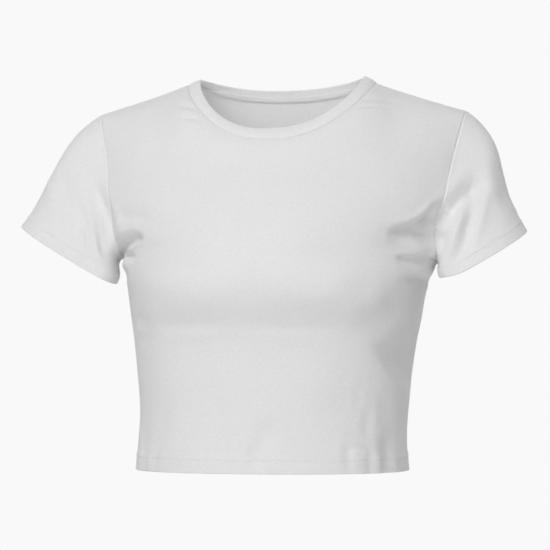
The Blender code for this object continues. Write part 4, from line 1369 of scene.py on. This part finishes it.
# %% Light
MIDDLE = Vector((-0.0079, -0.0011, -0.206))
LAMP_SIZE, LAMP_DISTANCE = 1.6, 2.8
LAMPS = (               # degrees around the garment (0 is the front), degrees above it, power in watts
    ("front_lamp", -2, 10, 15.0),
    ("key_lamp", -17, 40, 42.5),
    ("low_lamp", 53, -20, 22.0),
    ("side_lamp_right", 116, 40, 11.0),
    ("back_lamp_left", -137, 25, 25.0),
    ("back_lamp_right", 153, 25, 25.0),
)


def soft_lamp(name, place, way, power, size=LAMP_SIZE):
    """A square soft lamp at a place, that shines this way."""
    lamp = bpy.data.lights.new(name, "AREA")
    lamp.energy, lamp.size = power, size
    holder = new_object(name, lamp)
    holder.location, holder.rotation_euler = place, way.to_track_quat("-Z", "Y").to_euler()
    return holder


for name, around, above, power in LAMPS:
    around, above = np.radians(around), np.radians(above)
    way = Vector((np.sin(around) * np.cos(above), -np.cos(around) * np.cos(above), np.sin(above)))
    soft_lamp(name, MIDDLE + way * LAMP_DISTANCE, -way, power)
inner_lamp = soft_lamp("inner_lamp", (0.0, -0.03, -0.22), Vector((0.0, 0.10, 0.16)), 0.075, size=0.14)
inner_lamp.visible_camera = False
print("lamps:", len(LAMPS) + 1)

# %% [markdown]
# ### Surroundings
# What the camera sees behind the garment and what lights it are two backgrounds here: the first is
# nearly white, the second dim, so that the lamps shape the folds.

# %% Surroundings
world = bpy.data.worlds.new("pale_room")
bpy.context.scene.world = world
world.use_nodes = True
room = world.node_tree
seen, lit = room.nodes["Background"], room.nodes.new("ShaderNodeBackground")
for background, grey, strength in ((seen, 0.947, 1.0), (lit, 1.0, 0.10)):
    background.inputs["Color"].default_value = (grey, grey, grey, 1.0)
    background.inputs["Strength"].default_value = strength
path, choose = room.nodes.new("ShaderNodeLightPath"), room.nodes.new("ShaderNodeMixShader")
room.links.new(path.outputs["Is Camera Ray"], choose.inputs[0])
room.links.new(lit.outputs[0], choose.inputs[1])
room.links.new(seen.outputs[0], choose.inputs[2])
room.links.new(choose.outputs[0], room.nodes["World Output"].inputs["Surface"])
bpy.context.scene.view_settings.view_transform = "Standard"
print("surroundings:", world.name)

# %% [markdown]
# ### Camera
# A long lens from a good distance keeps the garment's proportions. The view is turned eight degrees.

# %% Camera
TURN, DISTANCE = np.radians(8.0), 3.6
lens = bpy.data.cameras.new("front_view")
lens.sensor_width, lens.lens = 36.0, 225.7
camera = new_object("front_view", lens)
camera.location = MIDDLE + DISTANCE * Vector((np.sin(TURN), -np.cos(TURN), 0.0))
camera.rotation_euler = (MIDDLE - camera.location).to_track_quat("-Z", "Y").to_euler()
bpy.context.scene.camera = camera
print("camera at", [round(value, 3) for value in camera.location])
